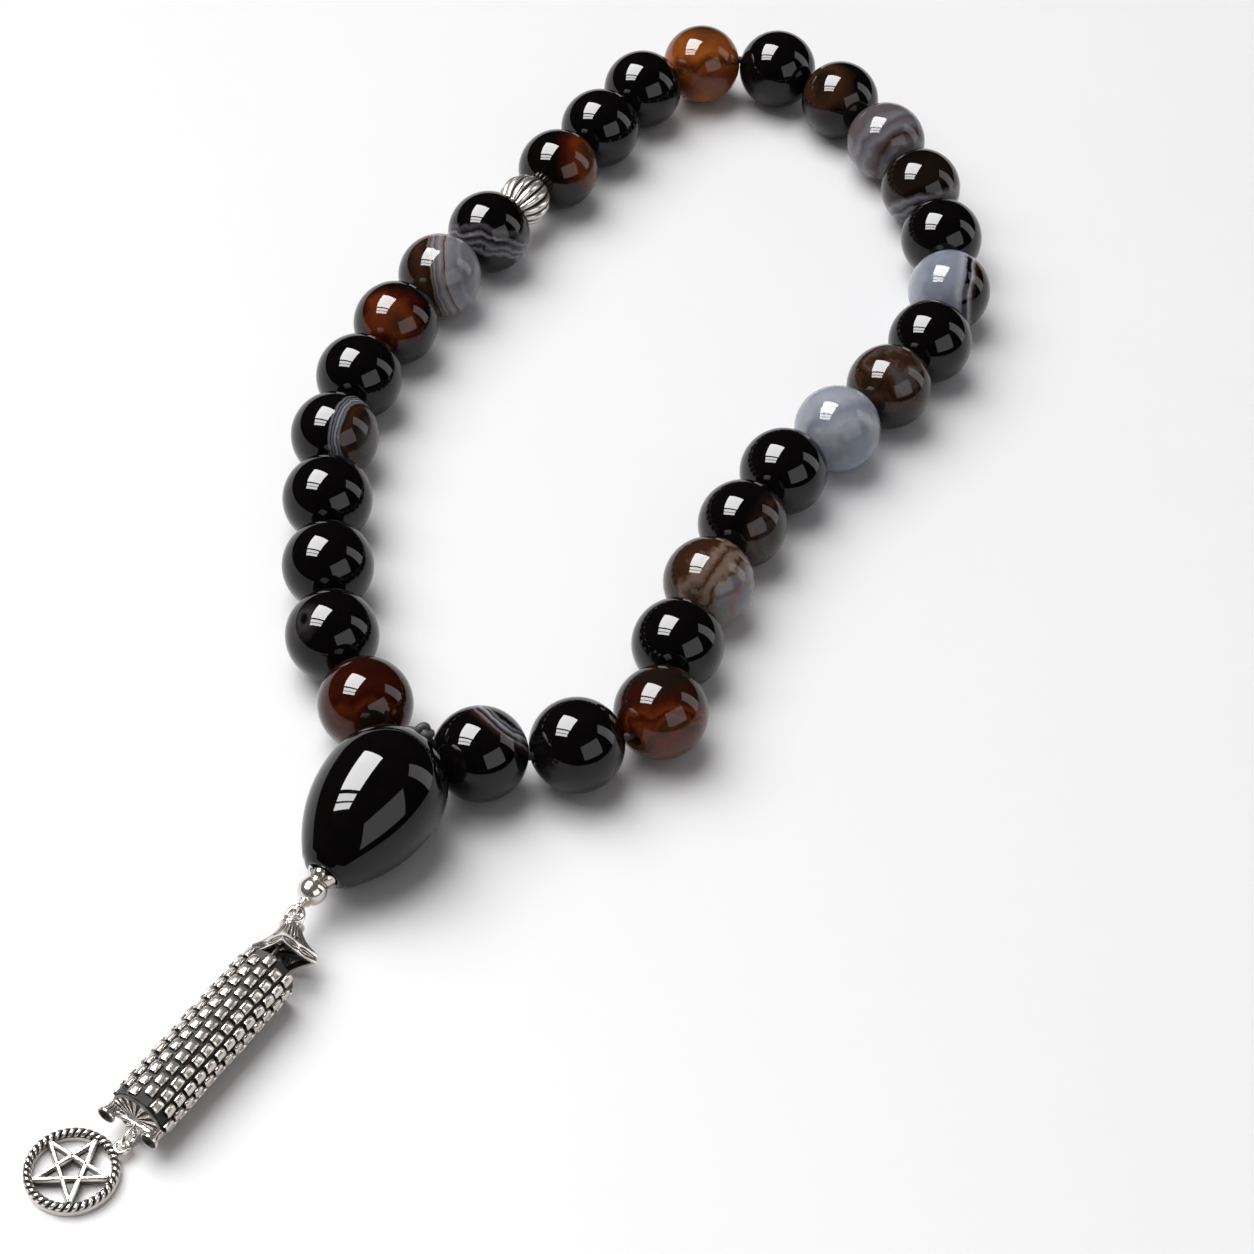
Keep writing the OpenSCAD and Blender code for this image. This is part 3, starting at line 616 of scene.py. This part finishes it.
# The pin ends in a stout eye just under the ball.
EYE_R, EYE_WIRE = 0.65 * MM, 0.26 * MM
eye_far = (pivots["bell_cap"] - pivots["round_ball"]).length
eye_at = pivots["round_ball"] - axes["leader_bead"] * (eye_far - EYE_R)
PIN_OUTLINE = [(0.01, -3.2), (0.3, -3.2), (0.3, 1.2), (0.62, 1.38), (0.66, 1.5), (0.5, 1.64), (0.3, 1.7),
               (0.01, 1.7)]
pin_axis = axes["leader_bead"]
pin_side = Vector((-pin_axis.y, pin_axis.x, 0)).normalized()
eye_turn = Matrix((pin_axis, pin_side, pin_axis.cross(pin_side))).transposed().to_4x4()
eye_turn = eye_turn @ Matrix.Rotation(math.pi / 2, 4, "X")
eye_turn.translation = eye_at
eye = as_object("stout_eye", [moved(sweep(ring_path(EYE_R, 60), EYE_WIRE, 20, loop=True), eye_turn),
                              moved(lathe([(r * MM, z * MM) for r, z in PIN_OUTLINE], 40),
                                    facing(pivots["round_ball"], -pin_axis))], BRIGHT, 60)
fit(eye, "strand", "silver", "eye_pin")

rings, dark = crown_rings()
crown_place = facing(pivots["leader_bead"] - 0.03 * MM * axes["leader_bead"], -axes["leader_bead"])
crown = as_object("petal_crown", [moved(skin(rings, True, dark), crown_place)], BRIGHT, 60)
fit(crown, "round_ball", "silver", "crown_cap")

# %% [markdown]
# ## Bail and collar
# A folded bail hooks through the eye. Its two lobes swell away from the fold, with a raised line
# down each, and it grows out of a short neck on a thin collar.

# %% Bail and collar
cap_hook = pivots["bell_cap"]
cap_axis = (middle("collar") - cap_hook).normalized()
COLLAR_R, COLLAR_T, BAIL_R, BAIL_WIRE = 1.25 * MM, 0.3 * MM, 0.75 * MM, 0.27 * MM
collar_at = (middle("collar") - cap_hook).length - COLLAR_T / 2
bail_middle = collar_at - BAIL_R - BAIL_WIRE + 0.1 * MM


def lobe(run, a):
    turn = run / BAIL_R
    swell = 1 + 1.15 * math.sin(turn) ** 2
    ridge = 1 + 0.13 * math.cos(5 * a) * abs(math.sin(turn))
    return BAIL_WIRE * swell * ridge


bail_ring = sweep([(-y, x, 0) for x, y, _ in ring_path(BAIL_R, 72)], lobe, 30, loop=True,
                  hollow=lambda run, a: 0.9 * max(0, -math.cos(5 * a)) * abs(math.sin(run / BAIL_R)))
side = Vector((-cap_axis.y, cap_axis.x, 0)).normalized()
level = Matrix((cap_axis, side, cap_axis.cross(side))).transposed().to_4x4()
level.translation = cap_hook + cap_axis * bail_middle
neck = [(0.25 * MM, -0.62 * MM), (0.55 * MM, -0.5 * MM), (0.62 * MM, -0.3 * MM), (0.8 * MM, -0.1 * MM),
        (0.95 * MM, 0.06 * MM), (0.2 * MM, 0.1 * MM)]
collar_profile = ([(0.2 * MM, 0)]
                  + [(COLLAR_R - 0.15 * MM + 0.15 * MM * math.cos(a), 0.15 * MM + 0.15 * MM * math.sin(a))
                     for a in np.linspace(-math.pi / 2, math.pi / 2, 9)]
                  + [(0.2 * MM, COLLAR_T)])
collar_place = facing(cap_hook + cap_axis * collar_at, cap_axis)
bail = as_object("folded_bail", [moved(bail_ring, level), moved(lathe(neck, 48), collar_place)], BRIGHT, 60)
fit(bail, "bell_cap", "silver", "bail")
collar = as_object("thin_collar", [moved(lathe(collar_profile, 56), collar_place)], BRIGHT, 50)
fit(collar, "bell_cap", "silver", "collar")

# %% [markdown]
# ## Bell cap
# The tube hangs from a small four-cornered roof. Raised lines run down to its corners, a plain
# lip sits over each side, and a leaf fills each face of the rim. All of it is a rule on height and
# angle, which gives the relief and tells where the silver is blackened.

# %% Bell cap
CAP_CORNER, CAP_FLARE, CAP_RIM, CAP_WALL = 3.2 * MM, 2.5 * MM, 1.0 * MM, 0.4 * MM


def cap_outline(h, a, inset):
    neck_r = COLLAR_R - 0.15 * MM
    corner = neck_r + (CAP_CORNER - neck_r) * min(h, 1) ** 1.7 - inset
    return corner * (1 / (abs(math.cos(a)) + abs(math.sin(a)))) ** (1.25 * min(1, h ** 1.2))


def cap_relief(h, a):
    """Raised height, and how black the spot is."""
    off = abs((math.degrees(a) + 45) % 90 - 45) / 45
    if h < 1:
        lip = off > 0.62 and h > 1 - 0.75 * (off - 0.55)
        groove = 0 if lip else max(math.exp(-((off - at) / 0.085) ** 2) for at in (0.17, 0.46, 0.76))
        edge = math.exp(-((h - 1 + 0.75 * (off - 0.55)) / 0.07) ** 2) if off > 0.6 else 0
        return 0.12 - 0.2 * max(groove, edge), 1.25 * max(groove, edge) * min(1, h * 4)
    u, v = 1 - off, abs(2 * (h - 1) - 1)
    leaf = 0.74 * max(0, 1 - (2 * u - 1) ** 2) ** 0.5 - v
    inside = min(1, max(0, leaf / 0.15)) * (1 - math.exp(-((leaf - 0.45) / 0.12) ** 2))
    return 0.1 - 0.2 * inside, 1.2 * inside


def cap_rings(turns=176):
    turn = np.linspace(0, 2 * math.pi, turns, endpoint=False)
    rings, dark = [], []
    outer = list(np.linspace(0, 1, 34)) + list(np.linspace(1.02, 2, 22))
    inner = list(np.linspace(2, 1.15, 8))
    for h in outer:
        z = h * CAP_FLARE if h <= 1 else CAP_FLARE + (h - 1) * CAP_RIM
        relief = [cap_relief(h, a) for a in turn]
        radii = [cap_outline(h, a, 0.08 * MM * min(1, h * 2)) + r * MM * 0.6 * min(1, h * 3)
                 for a, (r, _) in zip(turn, relief)]
        rings.append([(r * math.cos(a), r * math.sin(a), z) for r, a in zip(radii, turn)])
        dark.append([min(1, max(0, d)) for _, d in relief])
    for h in inner:
        z = h * CAP_FLARE if h <= 1 else CAP_FLARE + (h - 1) * CAP_RIM
        rings.append([(cap_outline(h, a, CAP_WALL) * math.cos(a), cap_outline(h, a, CAP_WALL) * math.sin(a), z)
                      for a in turn])
        dark.append([0.2 if h == 2 else 1] * turns)
    # A sunk floor closes the mouth, with a bright-edged leaf towards each corner.
    for u in np.linspace(1, 0.02, 34):
        ring, black = [], []
        for a in turn:
            off = abs((math.degrees(a) + 45) % 90 - 45) / 45
            leaf = abs(off - 0.62 * math.sin(math.pi * min(1, u * 1.02)) ** 0.8)
            raised = max(math.exp(-(leaf / 0.2) ** 2), math.exp(-((u - 0.93) / 0.05) ** 2))
            r = cap_outline(1.15, a, CAP_WALL) * u
            ring.append((r * math.cos(a), r * math.sin(a), CAP_FLARE + (0.12 + 0.16 * raised) * MM))
            black.append(1 - 1.8 * raised)
        rings.append(ring)
        dark.append([min(1, max(0, d)) for d in black])
    return rings, dark


rings, dark = cap_rings()
cap_place = facing(cap_hook + cap_axis * (collar_at + COLLAR_T), cap_axis)
cap = as_object("roofed_cap", [moved(skin(rings, False, dark), cap_place)], BRIGHT, 45)
fit(cap, "bell_cap", "silver", "bell_cap")

# %% [markdown]
# ## Geometry trees
# Things that repeat are made by Geometry Nodes. A tree is built here, given to a throwaway object,
# and its evaluated result becomes a plain mesh.

# %% Tree helpers
def new_tree(name, **sockets):
    """An empty geometry tree with a material input and the named number inputs."""
    tree = bpy.data.node_groups.new(name, "GeometryNodeTree")
    tree.interface.new_socket("Geometry", in_out="OUTPUT", socket_type="NodeSocketGeometry")
    tree.interface.new_socket("Finish", in_out="INPUT", socket_type="NodeSocketMaterial")
    for label, kind in sockets.items():
        tree.interface.new_socket(label.replace("_", " "), in_out="INPUT", socket_type=f"NodeSocket{kind}")
    asked = tree.nodes.new("NodeGroupInput")
    return tree, {s.name: Wire(tree, s) for s in asked.outputs if s.name}


def end_tree(tree, wire, finish):
    wire = add_node(tree, "GeometryNodeRealizeInstances", {}, {"Geometry": wire})
    wire = add_node(tree, "GeometryNodeSetMaterial", {}, {"Geometry": wire, "Material": finish})
    tree.links.new(wire.out, tree.nodes.new("NodeGroupOutput").inputs[0])


def grow(name, tree, place, **values):
    """Runs a tree on an empty mesh and returns the result as a plain mesh object, in place."""
    seed = bpy.data.objects.new(name + "_seed", bpy.data.meshes.new(name + "_seed"))
    bpy.context.scene.collection.objects.link(seed)
    modifier = seed.modifiers.new("grow", "NODES")
    modifier.node_group = tree
    for item in tree.interface.items_tree:
        key = item.name.replace(" ", "_")
        if item.in_out == "INPUT" and key in values:
            modifier[item.identifier] = values[key]
    seed.update_tag()
    evaluated = seed.evaluated_get(bpy.context.evaluated_depsgraph_get())
    mesh = bpy.data.meshes.new_from_object(evaluated)
    bpy.data.objects.remove(seed)
    mesh.transform(place)
    mesh.name = name
    made = bpy.data.objects.new(name, mesh)
    bpy.context.scene.collection.objects.link(made)
    return made


# %% [markdown]
# ## Linked tube
# The tassel's body is a sleeve of short curved plates laid like bricks, each with a small dark
# mouth at its lower end. One plate is made. The tree sets it out in columns, every other
# column half a plate lower, with a little hand-made unevenness.

# %% One plate
COLUMNS, ROWS = 14, 13
TUBE_R, LINK_T = 3.2 * MM, 0.5 * MM
TUBE_LEN = 19.6 * MM
PITCH = TUBE_LEN / (ROWS + 0.5)
PLATE_LEN, PLATE_W = PITCH - 0.3 * MM, 0.96 * MM


def plate():
    """A short arched plate, thick at its crown, with a mouth sunk into one end."""
    steps = 9
    rings, dark = [], []
    stations = [(-0.5, 0.82, 0.05), (-0.44, 0.97, 0), (-0.1, 1, 0), (0.3, 1.0, 0), (0.44, 0.97, 0),
                (0.5, 0.88, 0.1),
                (0.46, 0.62, 1), (0.40, 0.5, 1)]
    for along, size, black in stations:
        arch = []
        for a in np.linspace(0, math.pi, steps):
            across = -math.cos(a) * PLATE_W / 2 * size
            height = LINK_T * (0.42 + 0.56 * math.sin(a) ** 0.5) * (size if size > 0.8 else size * 0.95)
            arch.append((height, across, along * PLATE_LEN))
        arch += [(0.02 * MM, PLATE_W / 2 * size * 0.9, along * PLATE_LEN),
                 (0.02 * MM, -PLATE_W / 2 * size * 0.9, along * PLATE_LEN)]
        rings.append(arch)
        dark.append([black] * steps + [1, 1])
    return skin(rings, False, dark)


plate_object = as_object("plate_pattern", [plate()], SATIN, 50)


def brick_tree():
    tree, asked = new_tree("brick_laid_plates", Columns="Int", Rows="Int", Radius="Float", Pitch="Float",
                           Unevenness="Float", Seed="Int", Plate="Object")
    index = add_node(tree, "GeometryNodeInputIndex")
    column = index.math("FLOOR", index / asked["Rows"])
    row = index.math("MODULO", index, asked["Rows"])
    turn = (column + 0.5) / asked["Columns"] * (2 * math.pi)
    chance = lambda offset, low, high: add_node(tree, "FunctionNodeRandomValue", {"data_type": "FLOAT"}, {
        2: low, 3: high, "ID": index, "Seed": asked["Seed"] + offset}, 1)
    drift = chance(0, -1.0, 1.0) * asked["Unevenness"]
    height = (row + 0.5 + column.math("MODULO", column, 2) * 0.5) * asked["Pitch"] + drift
    radius = asked["Radius"] + chance(1, -1.0, 0.3) * asked["Unevenness"] * 0.6
    spot = add_node(tree, "ShaderNodeCombineXYZ", {}, {
        0: turn.math("COSINE", turn) * radius, 1: turn.math("SINE", turn) * radius, 2: height})
    points = add_node(tree, "GeometryNodePoints", {}, {
        "Count": asked["Columns"] * asked["Rows"], "Position": spot}, 0)
    lean = add_node(tree, "ShaderNodeCombineXYZ", {},
                    {0: chance(2, -0.06, 0.06), 1: chance(3, -0.05, 0.05), 2: turn})
    size = add_node(tree, "ShaderNodeCombineXYZ", {},
                    {0: chance(4, 0.88, 1.0), 1: chance(5, 0.93, 1.03), 2: chance(6, 0.94, 1.05)})
    shape = add_node(tree, "GeometryNodeObjectInfo", {}, {"Object": asked["Plate"]}, "Geometry")
    laid = add_node(tree, "GeometryNodeInstanceOnPoints", {}, {
        "Points": points, "Instance": shape, "Rotation": lean, "Scale": size})
    end_tree(tree, laid, asked["Finish"])
    return tree


# %% Laying the plates
tube_axis = (middle("foot_bar") - middle("head_bar"))
tube_axis = Vector((tube_axis.x, tube_axis.y, 0)).normalized()
head_bar_at = 0.3 * MM
tube_top = middle("head_bar") - tube_axis * head_bar_at
tube_place = facing(tube_top, tube_axis)
plates = grow("brick_plates", brick_tree(), tube_place, Finish=SATIN, Columns=COLUMNS, Rows=ROWS,
              Radius=TUBE_R - LINK_T, Pitch=PITCH, Unevenness=0.07 * MM, Seed=4, Plate=plate_object)
bpy.data.objects.remove(plate_object)
fit(plates, "tube", "silver", *[f"links_{n:02d}" for n in range(1, 8)])

# %% [markdown]
# ## Foot of the tube
# Two fluted cups stick out at the foot, and a wrapped eyelet between them carries the jump ring.
# Wire that is wound is simply a coil swept with a round section.

# %% Fluted cups
def cup(flutes=10, steps=8):
    turn = np.linspace(0, 2 * math.pi, flutes * steps, endpoint=False)
    rings, dark = [], []
    outline = [(0.5, 0, 0), (0.56, 0.15, 0.6), (0.5, 0.45, 1), (0.6, 0.75, 1), (0.76, 1.0, 0.8),
               (0.88, 1.2, 0.4),
               (0.93, 1.32, 0), (0.88, 1.45, 0), (0.72, 1.45, 0), (0.58, 1.25, 0), (0.3, 1.05, 0)]
    for k, (r, z, ribbed) in enumerate(outline):
        flute = [ribbed * (1 - abs(math.cos(t * flutes / 2)) ** 0.6) for t in turn]
        rings.append([((r - 0.16 * f) * MM * math.cos(t), (r - 0.16 * f) * MM * math.sin(t), z * MM)
                      for t, f in zip(turn, flute)])
        dark.append([min(1, 1.3 * f) if k < 8 else 1 for f in flute])
    return skin(rings, False, dark)


for node in ("prong_left", "prong_right"):
    made = as_object(node + "_cup", [moved(cup(), facing(middle(node) - tube_axis * 0.725 * MM, tube_axis))],
                     BRIGHT, 50)
    fit(made, "tube", "silver", node)

# %% End button and bar
def button(ribs=16, steps=8):
    """A low ribbed dome that closes the tube's foot."""
    turn = np.linspace(0, 2 * math.pi, ribs * steps, endpoint=False)
    rings, dark = [], []
    for r, z in [(2.62, 0), (2.7, 0.12), (2.55, 0.26), (2.1, 0.3), (1.5, 0.36), (1.0, 0.38), (0.5, 0.4),
                 (0.1, 0.4)]:
        rib = [abs(math.cos(t * ribs / 2)) ** 0.7 for t in turn]
        low = 0.16 if 0.6 < r < 2.5 else 0
        rings.append([(r * MM * math.cos(t), r * MM * math.sin(t), (z - low * (1 - f)) * MM)
                      for t, f in zip(turn, rib)])
        dark.append([2.4 * (1 - f) if low else 0.6 for f in rib])
    return skin(rings, False, dark)


tube_foot = tube_top + tube_axis * (TUBE_LEN + 0.01 * MM)
across = axes["jump_ring"].normalized()
bar_path = [middle("foot_bar") + across * t * MM for t in np.linspace(-2.15, 2.15, 60)]
waist = lambda run, a: ((0.19 + 0.25 * abs(run / MM / 2.15 - 1) ** 1.8) * MM
                        * (1 + 0.07 * math.cos(6 * a + run / (0.2 * MM))))
end_parts = [moved(button(), facing(tube_foot, tube_axis)),
             sweep(bar_path, waist, 24,
                   hollow=lambda run, a: 0.9 * max(0, -math.cos(6 * a + run / (0.2 * MM))))]
fit(as_object("ribbed_end", end_parts, SATIN, 60), "tube", "silver", "foot_bar")

# %% Eyelet, jump ring and medallion loop
RING_R = 0.23 * MM
hook = pivots["jump_ring"]
swing = pivots["medallion"]
ring_axis = axes["jump_ring"]


LOOP_R, JUMP_R = 0.62 * MM, 1.0 * MM
coil = [(LOOP_R * math.cos(a), LOOP_R * math.sin(a), 0.13 * MM * (a / math.pi - 2))
        for a in np.linspace(0.3, 4 * math.pi - 0.3, 120)]
cross = (hook - middle("foot_eyelet")).normalized()
eyelet_turn = Matrix((cross, ring_axis.normalized(),
                      cross.cross(ring_axis.normalized()))).transposed().to_4x4()
eyelet_turn.translation = middle("foot_eyelet")
eyelet = as_object("wrapped_eyelet", [moved(sweep(coil, 0.19 * MM, 18), eyelet_turn)], BRIGHT, 70)
fit(eyelet, "tube", "silver", "foot_eyelet")

jump_middle = middle("jump_ring")
along = (swing - hook).normalized()
jump_turn = Matrix((along, along.cross(ring_axis), ring_axis)).transposed().to_4x4()
jump_turn.translation = jump_middle
split = [(JUMP_R * math.cos(a), JUMP_R * math.sin(a), 0.02 * MM * math.cos(a / 2))
         for a in np.linspace(0, 2 * math.pi, 96, endpoint=False)]
jump = as_object("jump_ring_wire", [moved(sweep(split, RING_R, 20, loop=True), jump_turn)], BRIGHT, 70)
fit(jump, "jump_ring", "silver", "jump_ring")

medal_axis = middle("medallion_rim") - middle("medallion_loop")
medal_axis = Vector((medal_axis.x, medal_axis.y, 0)).normalized()
loop_place = Matrix.Translation(middle("medallion_loop"))
medal_loop = as_object("medallion_loop_wire",
                       [moved(sweep(ring_path(LOOP_R, 72), RING_R, 20, loop=True), loop_place)], BRIGHT, 70)
fit(medal_loop, "medallion", "silver", "medallion_loop")

# %% [markdown]
# ## Medallion
# A flat ring edged with twisted rope holds a five-pointed star. The rope is two strands that wind
# round one circle; the tree bends a circle into that path and gives it thickness. The star is five
# bars from tip to tip, with dark floors sunk between them.

# %% Rope tree
def rope_tree():
    tree, asked = new_tree("twisted_rope", Ring_radius="Float", Winding_radius="Float",
                           Strand_radius="Float",
                           Twists="Float", Steps="Int")
    strands = add_node(tree, "GeometryNodeJoinGeometry")
    join = strands.out.node
    for phase in (0, math.pi):
        circle = add_node(tree, "GeometryNodeCurvePrimitiveCircle", {},
                          {"Resolution": asked["Steps"], "Radius": 1.0})
        index = add_node(tree, "GeometryNodeInputIndex")
        turn = index / asked["Steps"] * (2 * math.pi)
        wind = turn * asked["Twists"] + phase
        radius = asked["Ring radius"] + wind.math("COSINE", wind) * asked["Winding radius"]
        spot = add_node(tree, "ShaderNodeCombineXYZ", {}, {
            0: turn.math("COSINE", turn) * radius, 1: turn.math("SINE", turn) * radius,
            2: wind.math("SINE", wind) * asked["Winding radius"]})
        path = add_node(tree, "GeometryNodeSetPosition", {}, {"Geometry": circle, "Position": spot})
        section = add_node(tree, "GeometryNodeCurvePrimitiveCircle", {},
                           {"Resolution": 10, "Radius": asked["Strand radius"]})
        wire = add_node(tree, "GeometryNodeCurveToMesh", {}, {"Curve": path, "Profile Curve": section})
        tree.links.new(wire.out, join.inputs[0])
    smooth = add_node(tree, "GeometryNodeSetShadeSmooth", {}, {"Geometry": strands})
    spot = add_node(tree, "GeometryNodeInputPosition")
    parts = add_node(tree, "ShaderNodeSeparateXYZ", {}, {"Vector": spot})
    x, y, z = [Wire(tree, out) for out in parts.out.node.outputs]
    out = (x * x + y * y).math("SQRT", x * x + y * y) - asked["Ring radius"]
    far = out.math("SQRT", out * out + z * z) / asked["Strand radius"]
    groove = add_node(tree, "ShaderNodeMapRange", {}, {"Value": far, "From Min": 1.86, "From Max": 1.5})
    marked = add_node(tree, "GeometryNodeStoreNamedAttribute", {"data_type": "FLOAT", "domain": "POINT"}, {
        "Geometry": smooth, "Name": "hollow", "Value": groove})
    end_tree(tree, marked, asked["Finish"])
    return tree


# %% Rim and rope
MEDAL_R, RIM_W, MEDAL_T = 4.35 * MM, 0.85 * MM, 1.4 * MM
low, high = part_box("medallion_rim")
medal_at = Vector(((low.x + high.x) / 2, (low.y + high.y) / 2, 0))
medal_place = Matrix.Translation(medal_at)
rope_middle = Matrix.Translation(medal_at + Vector((0, 0, MEDAL_T - RIM_W / 2 - 0.02 * MM)))
rope = grow("twisted_rope_rim", rope_tree(), rope_middle, Finish=BRIGHT, Ring_radius=MEDAL_R - RIM_W / 2,
            Winding_radius=0.21 * MM, Strand_radius=0.225 * MM, Twists=19.0, Steps=800)
fit(rope, "medallion", "silver", "medallion_rim")
wall = [(MEDAL_R - RIM_W + 0.1 * MM, 0), (MEDAL_R - 0.15 * MM, 0), (MEDAL_R - 0.04 * MM, 0.1 * MM),
        (MEDAL_R - 0.02 * MM, 0.6 * MM),
        (MEDAL_R - 0.12 * MM, 0.8 * MM), (MEDAL_R - RIM_W / 2, 1.02 * MM),
        (MEDAL_R - RIM_W + 0.12 * MM, 0.8 * MM),
        (MEDAL_R - RIM_W + 0.02 * MM, 0.6 * MM), (MEDAL_R - RIM_W + 0.02 * MM, 0.1 * MM)]
rim = as_object("medallion_wall", [moved(lathe(wall, 120, [0, 0, 0, 0, 0.8, 1, 1, 0.3, 0]), medal_place)],
                SATIN, 40)
fit(rim, "medallion", "silver", "medallion_rim")

# %% Star
STAR_TURN = math.radians(-82)
STAR_LOW, STAR_HIGH, BAR_W = 0.4 * MM, 1.3 * MM, 0.5 * MM
tip_reach = MEDAL_R - RIM_W - 0.05 * MM
tips = [Vector((math.cos(STAR_TURN + k * math.radians(72)), math.sin(STAR_TURN + k * math.radians(72)),
                0)) * tip_reach
        for k in range(5)]


def bar(a, b):
    """A bar with a rounded bright top and dark sides."""
    ahead = (b - a).normalized()
    side = Vector((-ahead.y, ahead.x, 0))
    section = [(-1, 0), (-1, 0.55), (-0.98, 0.72), (-0.8, 0.93), (-0.4, 1), (0.4, 1), (0.8, 0.93),
               (0.98, 0.72), (1, 0.55), (1, 0)]
    black = [1, 1, 0, 0, 0, 0, 0, 0, 1, 1]
    ends = ([a, a + ahead * 0.12 * MM]
            + [a.lerp(b, s) for s in (0.25, 0.5, 0.75)]
            + [b - ahead * 0.12 * MM, b])
    rings = [[p + side * s * BAR_W / 2 + Vector((0, 0, STAR_LOW + (STAR_HIGH - STAR_LOW) * h))
              for s, h in section] for p in ends]
    return skin(rings, False, [black] * len(ends))


def sunk_floor(k):
    """The dark triangle inside one point of the star."""
    inner = tip_reach * math.cos(math.radians(72)) / math.cos(math.radians(36))
    turn = lambda a, r: Vector((math.cos(STAR_TURN + a) * r, math.sin(STAR_TURN + a) * r, 0))
    corners = [tips[k] * 0.94, turn(math.radians(72 * k + 36), inner),
               turn(math.radians(72 * k - 36), inner)]
    rings = [[c + Vector((0, 0, z)) for c in corners] for z in (STAR_LOW + 0.05 * MM, STAR_LOW + 0.45 * MM)]
    return skin(rings, False, [[1] * 3] * 2)


parts = [bar(tips[k], tips[(k + 2) % 5]) for k in range(5)] + [sunk_floor(k) for k in range(5)]
star = as_object("five_pointed_star", [moved(p, medal_place) for p in parts], BRIGHT, 30)
fit(star, "medallion", "silver", "star")

# %% [markdown]
# ## Pieces that stay as the CAD drew them
# Pins, bars and the dark core are plain inside, and mostly hidden. They keep their CAD meshes and
# only get a finish.

# %% Finishes on CAD pieces
KEPT = {"hanger_bar": BLACKENED, "hanger_link": BLACKENED, "head_bar": BLACKENED,
        "core_tube": BLACKENED, "string_tail": BRAID}
for node, material in KEPT.items():
    kept = frame["nodes"][node]
    kept.data.materials.clear()
    kept.data.materials.append(material)
    print(node, "finished with", material.name)

# %% [markdown]
# ## Table and light
# A white table and a dark room give polished black stone its look: most of each bead mirrors the
# dark. One soft key lights everything but isn't mirrored. The other panels are seen only in the
# gloss: a wide window with two slats beside it, high on the left, and two faint ones to the right.

# %% Table
def table_finish():
    finish = Finish("white_table", Roughness=0.55)
    mottle = finish.noise(finish.place(), 30, 3)
    return finish.drive(Base_Color=finish.mix(mottle, (0.90, 0.90, 0.905), (0.92, 0.92, 0.925)))


table_mesh = bpy.data.meshes.new("table")
table_mesh.from_pydata([(-3, -3, 0), (3, -3, 0), (3, 3, 0), (-3, 3, 0)], [], [(0, 1, 2, 3)])
table_mesh.materials.append(table_finish())
table = bpy.data.objects.new("table", table_mesh)
bpy.context.scene.collection.objects.link(table)


# %% Lights
def window(name, direction, distance, width, height, radiance, shift=0.0, seen=True, lights=True):
    """A soft panel that faces the beads. It can be seen in the gloss, light the table, or both."""
    panel = bpy.data.lights.new(name, "AREA")
    panel.shape = "RECTANGLE"
    panel.size, panel.size_y = width, height
    panel.energy = radiance * math.pi * width * height
    light = bpy.data.objects.new(name, panel)
    light.visible_glossy, light.visible_diffuse = seen, lights
    back = direction.normalized()
    level = Vector((0, 0, 1)).cross(back).normalized()
    matrix = Matrix((level, back.cross(level), back)).transposed().to_4x4()
    matrix.translation = back * distance + level * shift
    light.matrix_world = matrix
    bpy.context.scene.collection.objects.link(light)


KEY = Vector((-0.43, 0.23, 0.88))
window("soft_key", KEY, 2.0, 2.0, 2.0, 3.6, seen=False)
window("wide_window", KEY, 1.2, 0.7, 0.75, 28, lights=False)
for slat in range(2):
    window(f"slat_{slat}", KEY, 1.2, 0.15, 0.7, 24, shift=0.5 + 0.19 * slat, lights=False)
window("low_panel", Vector((0.6, -0.62, 0.5)), 1.4, 1.2, 0.9, 1.8, lights=False)
window("side_panel", Vector((0.93, 0.25, 0.42)), 1.4, 0.5, 1.2, 2.2, lights=False)

world = bpy.data.worlds.new("dark_room")
world.use_nodes = True
world.node_tree.nodes["Background"].inputs["Color"].default_value = (1, 0.97, 1, 1)
world.node_tree.nodes["Background"].inputs["Strength"].default_value = 0.22
world.cycles_visibility.glossy = False
bpy.context.scene.world = world
bpy.context.scene.view_settings.view_transform = "Standard"
print("lights set")
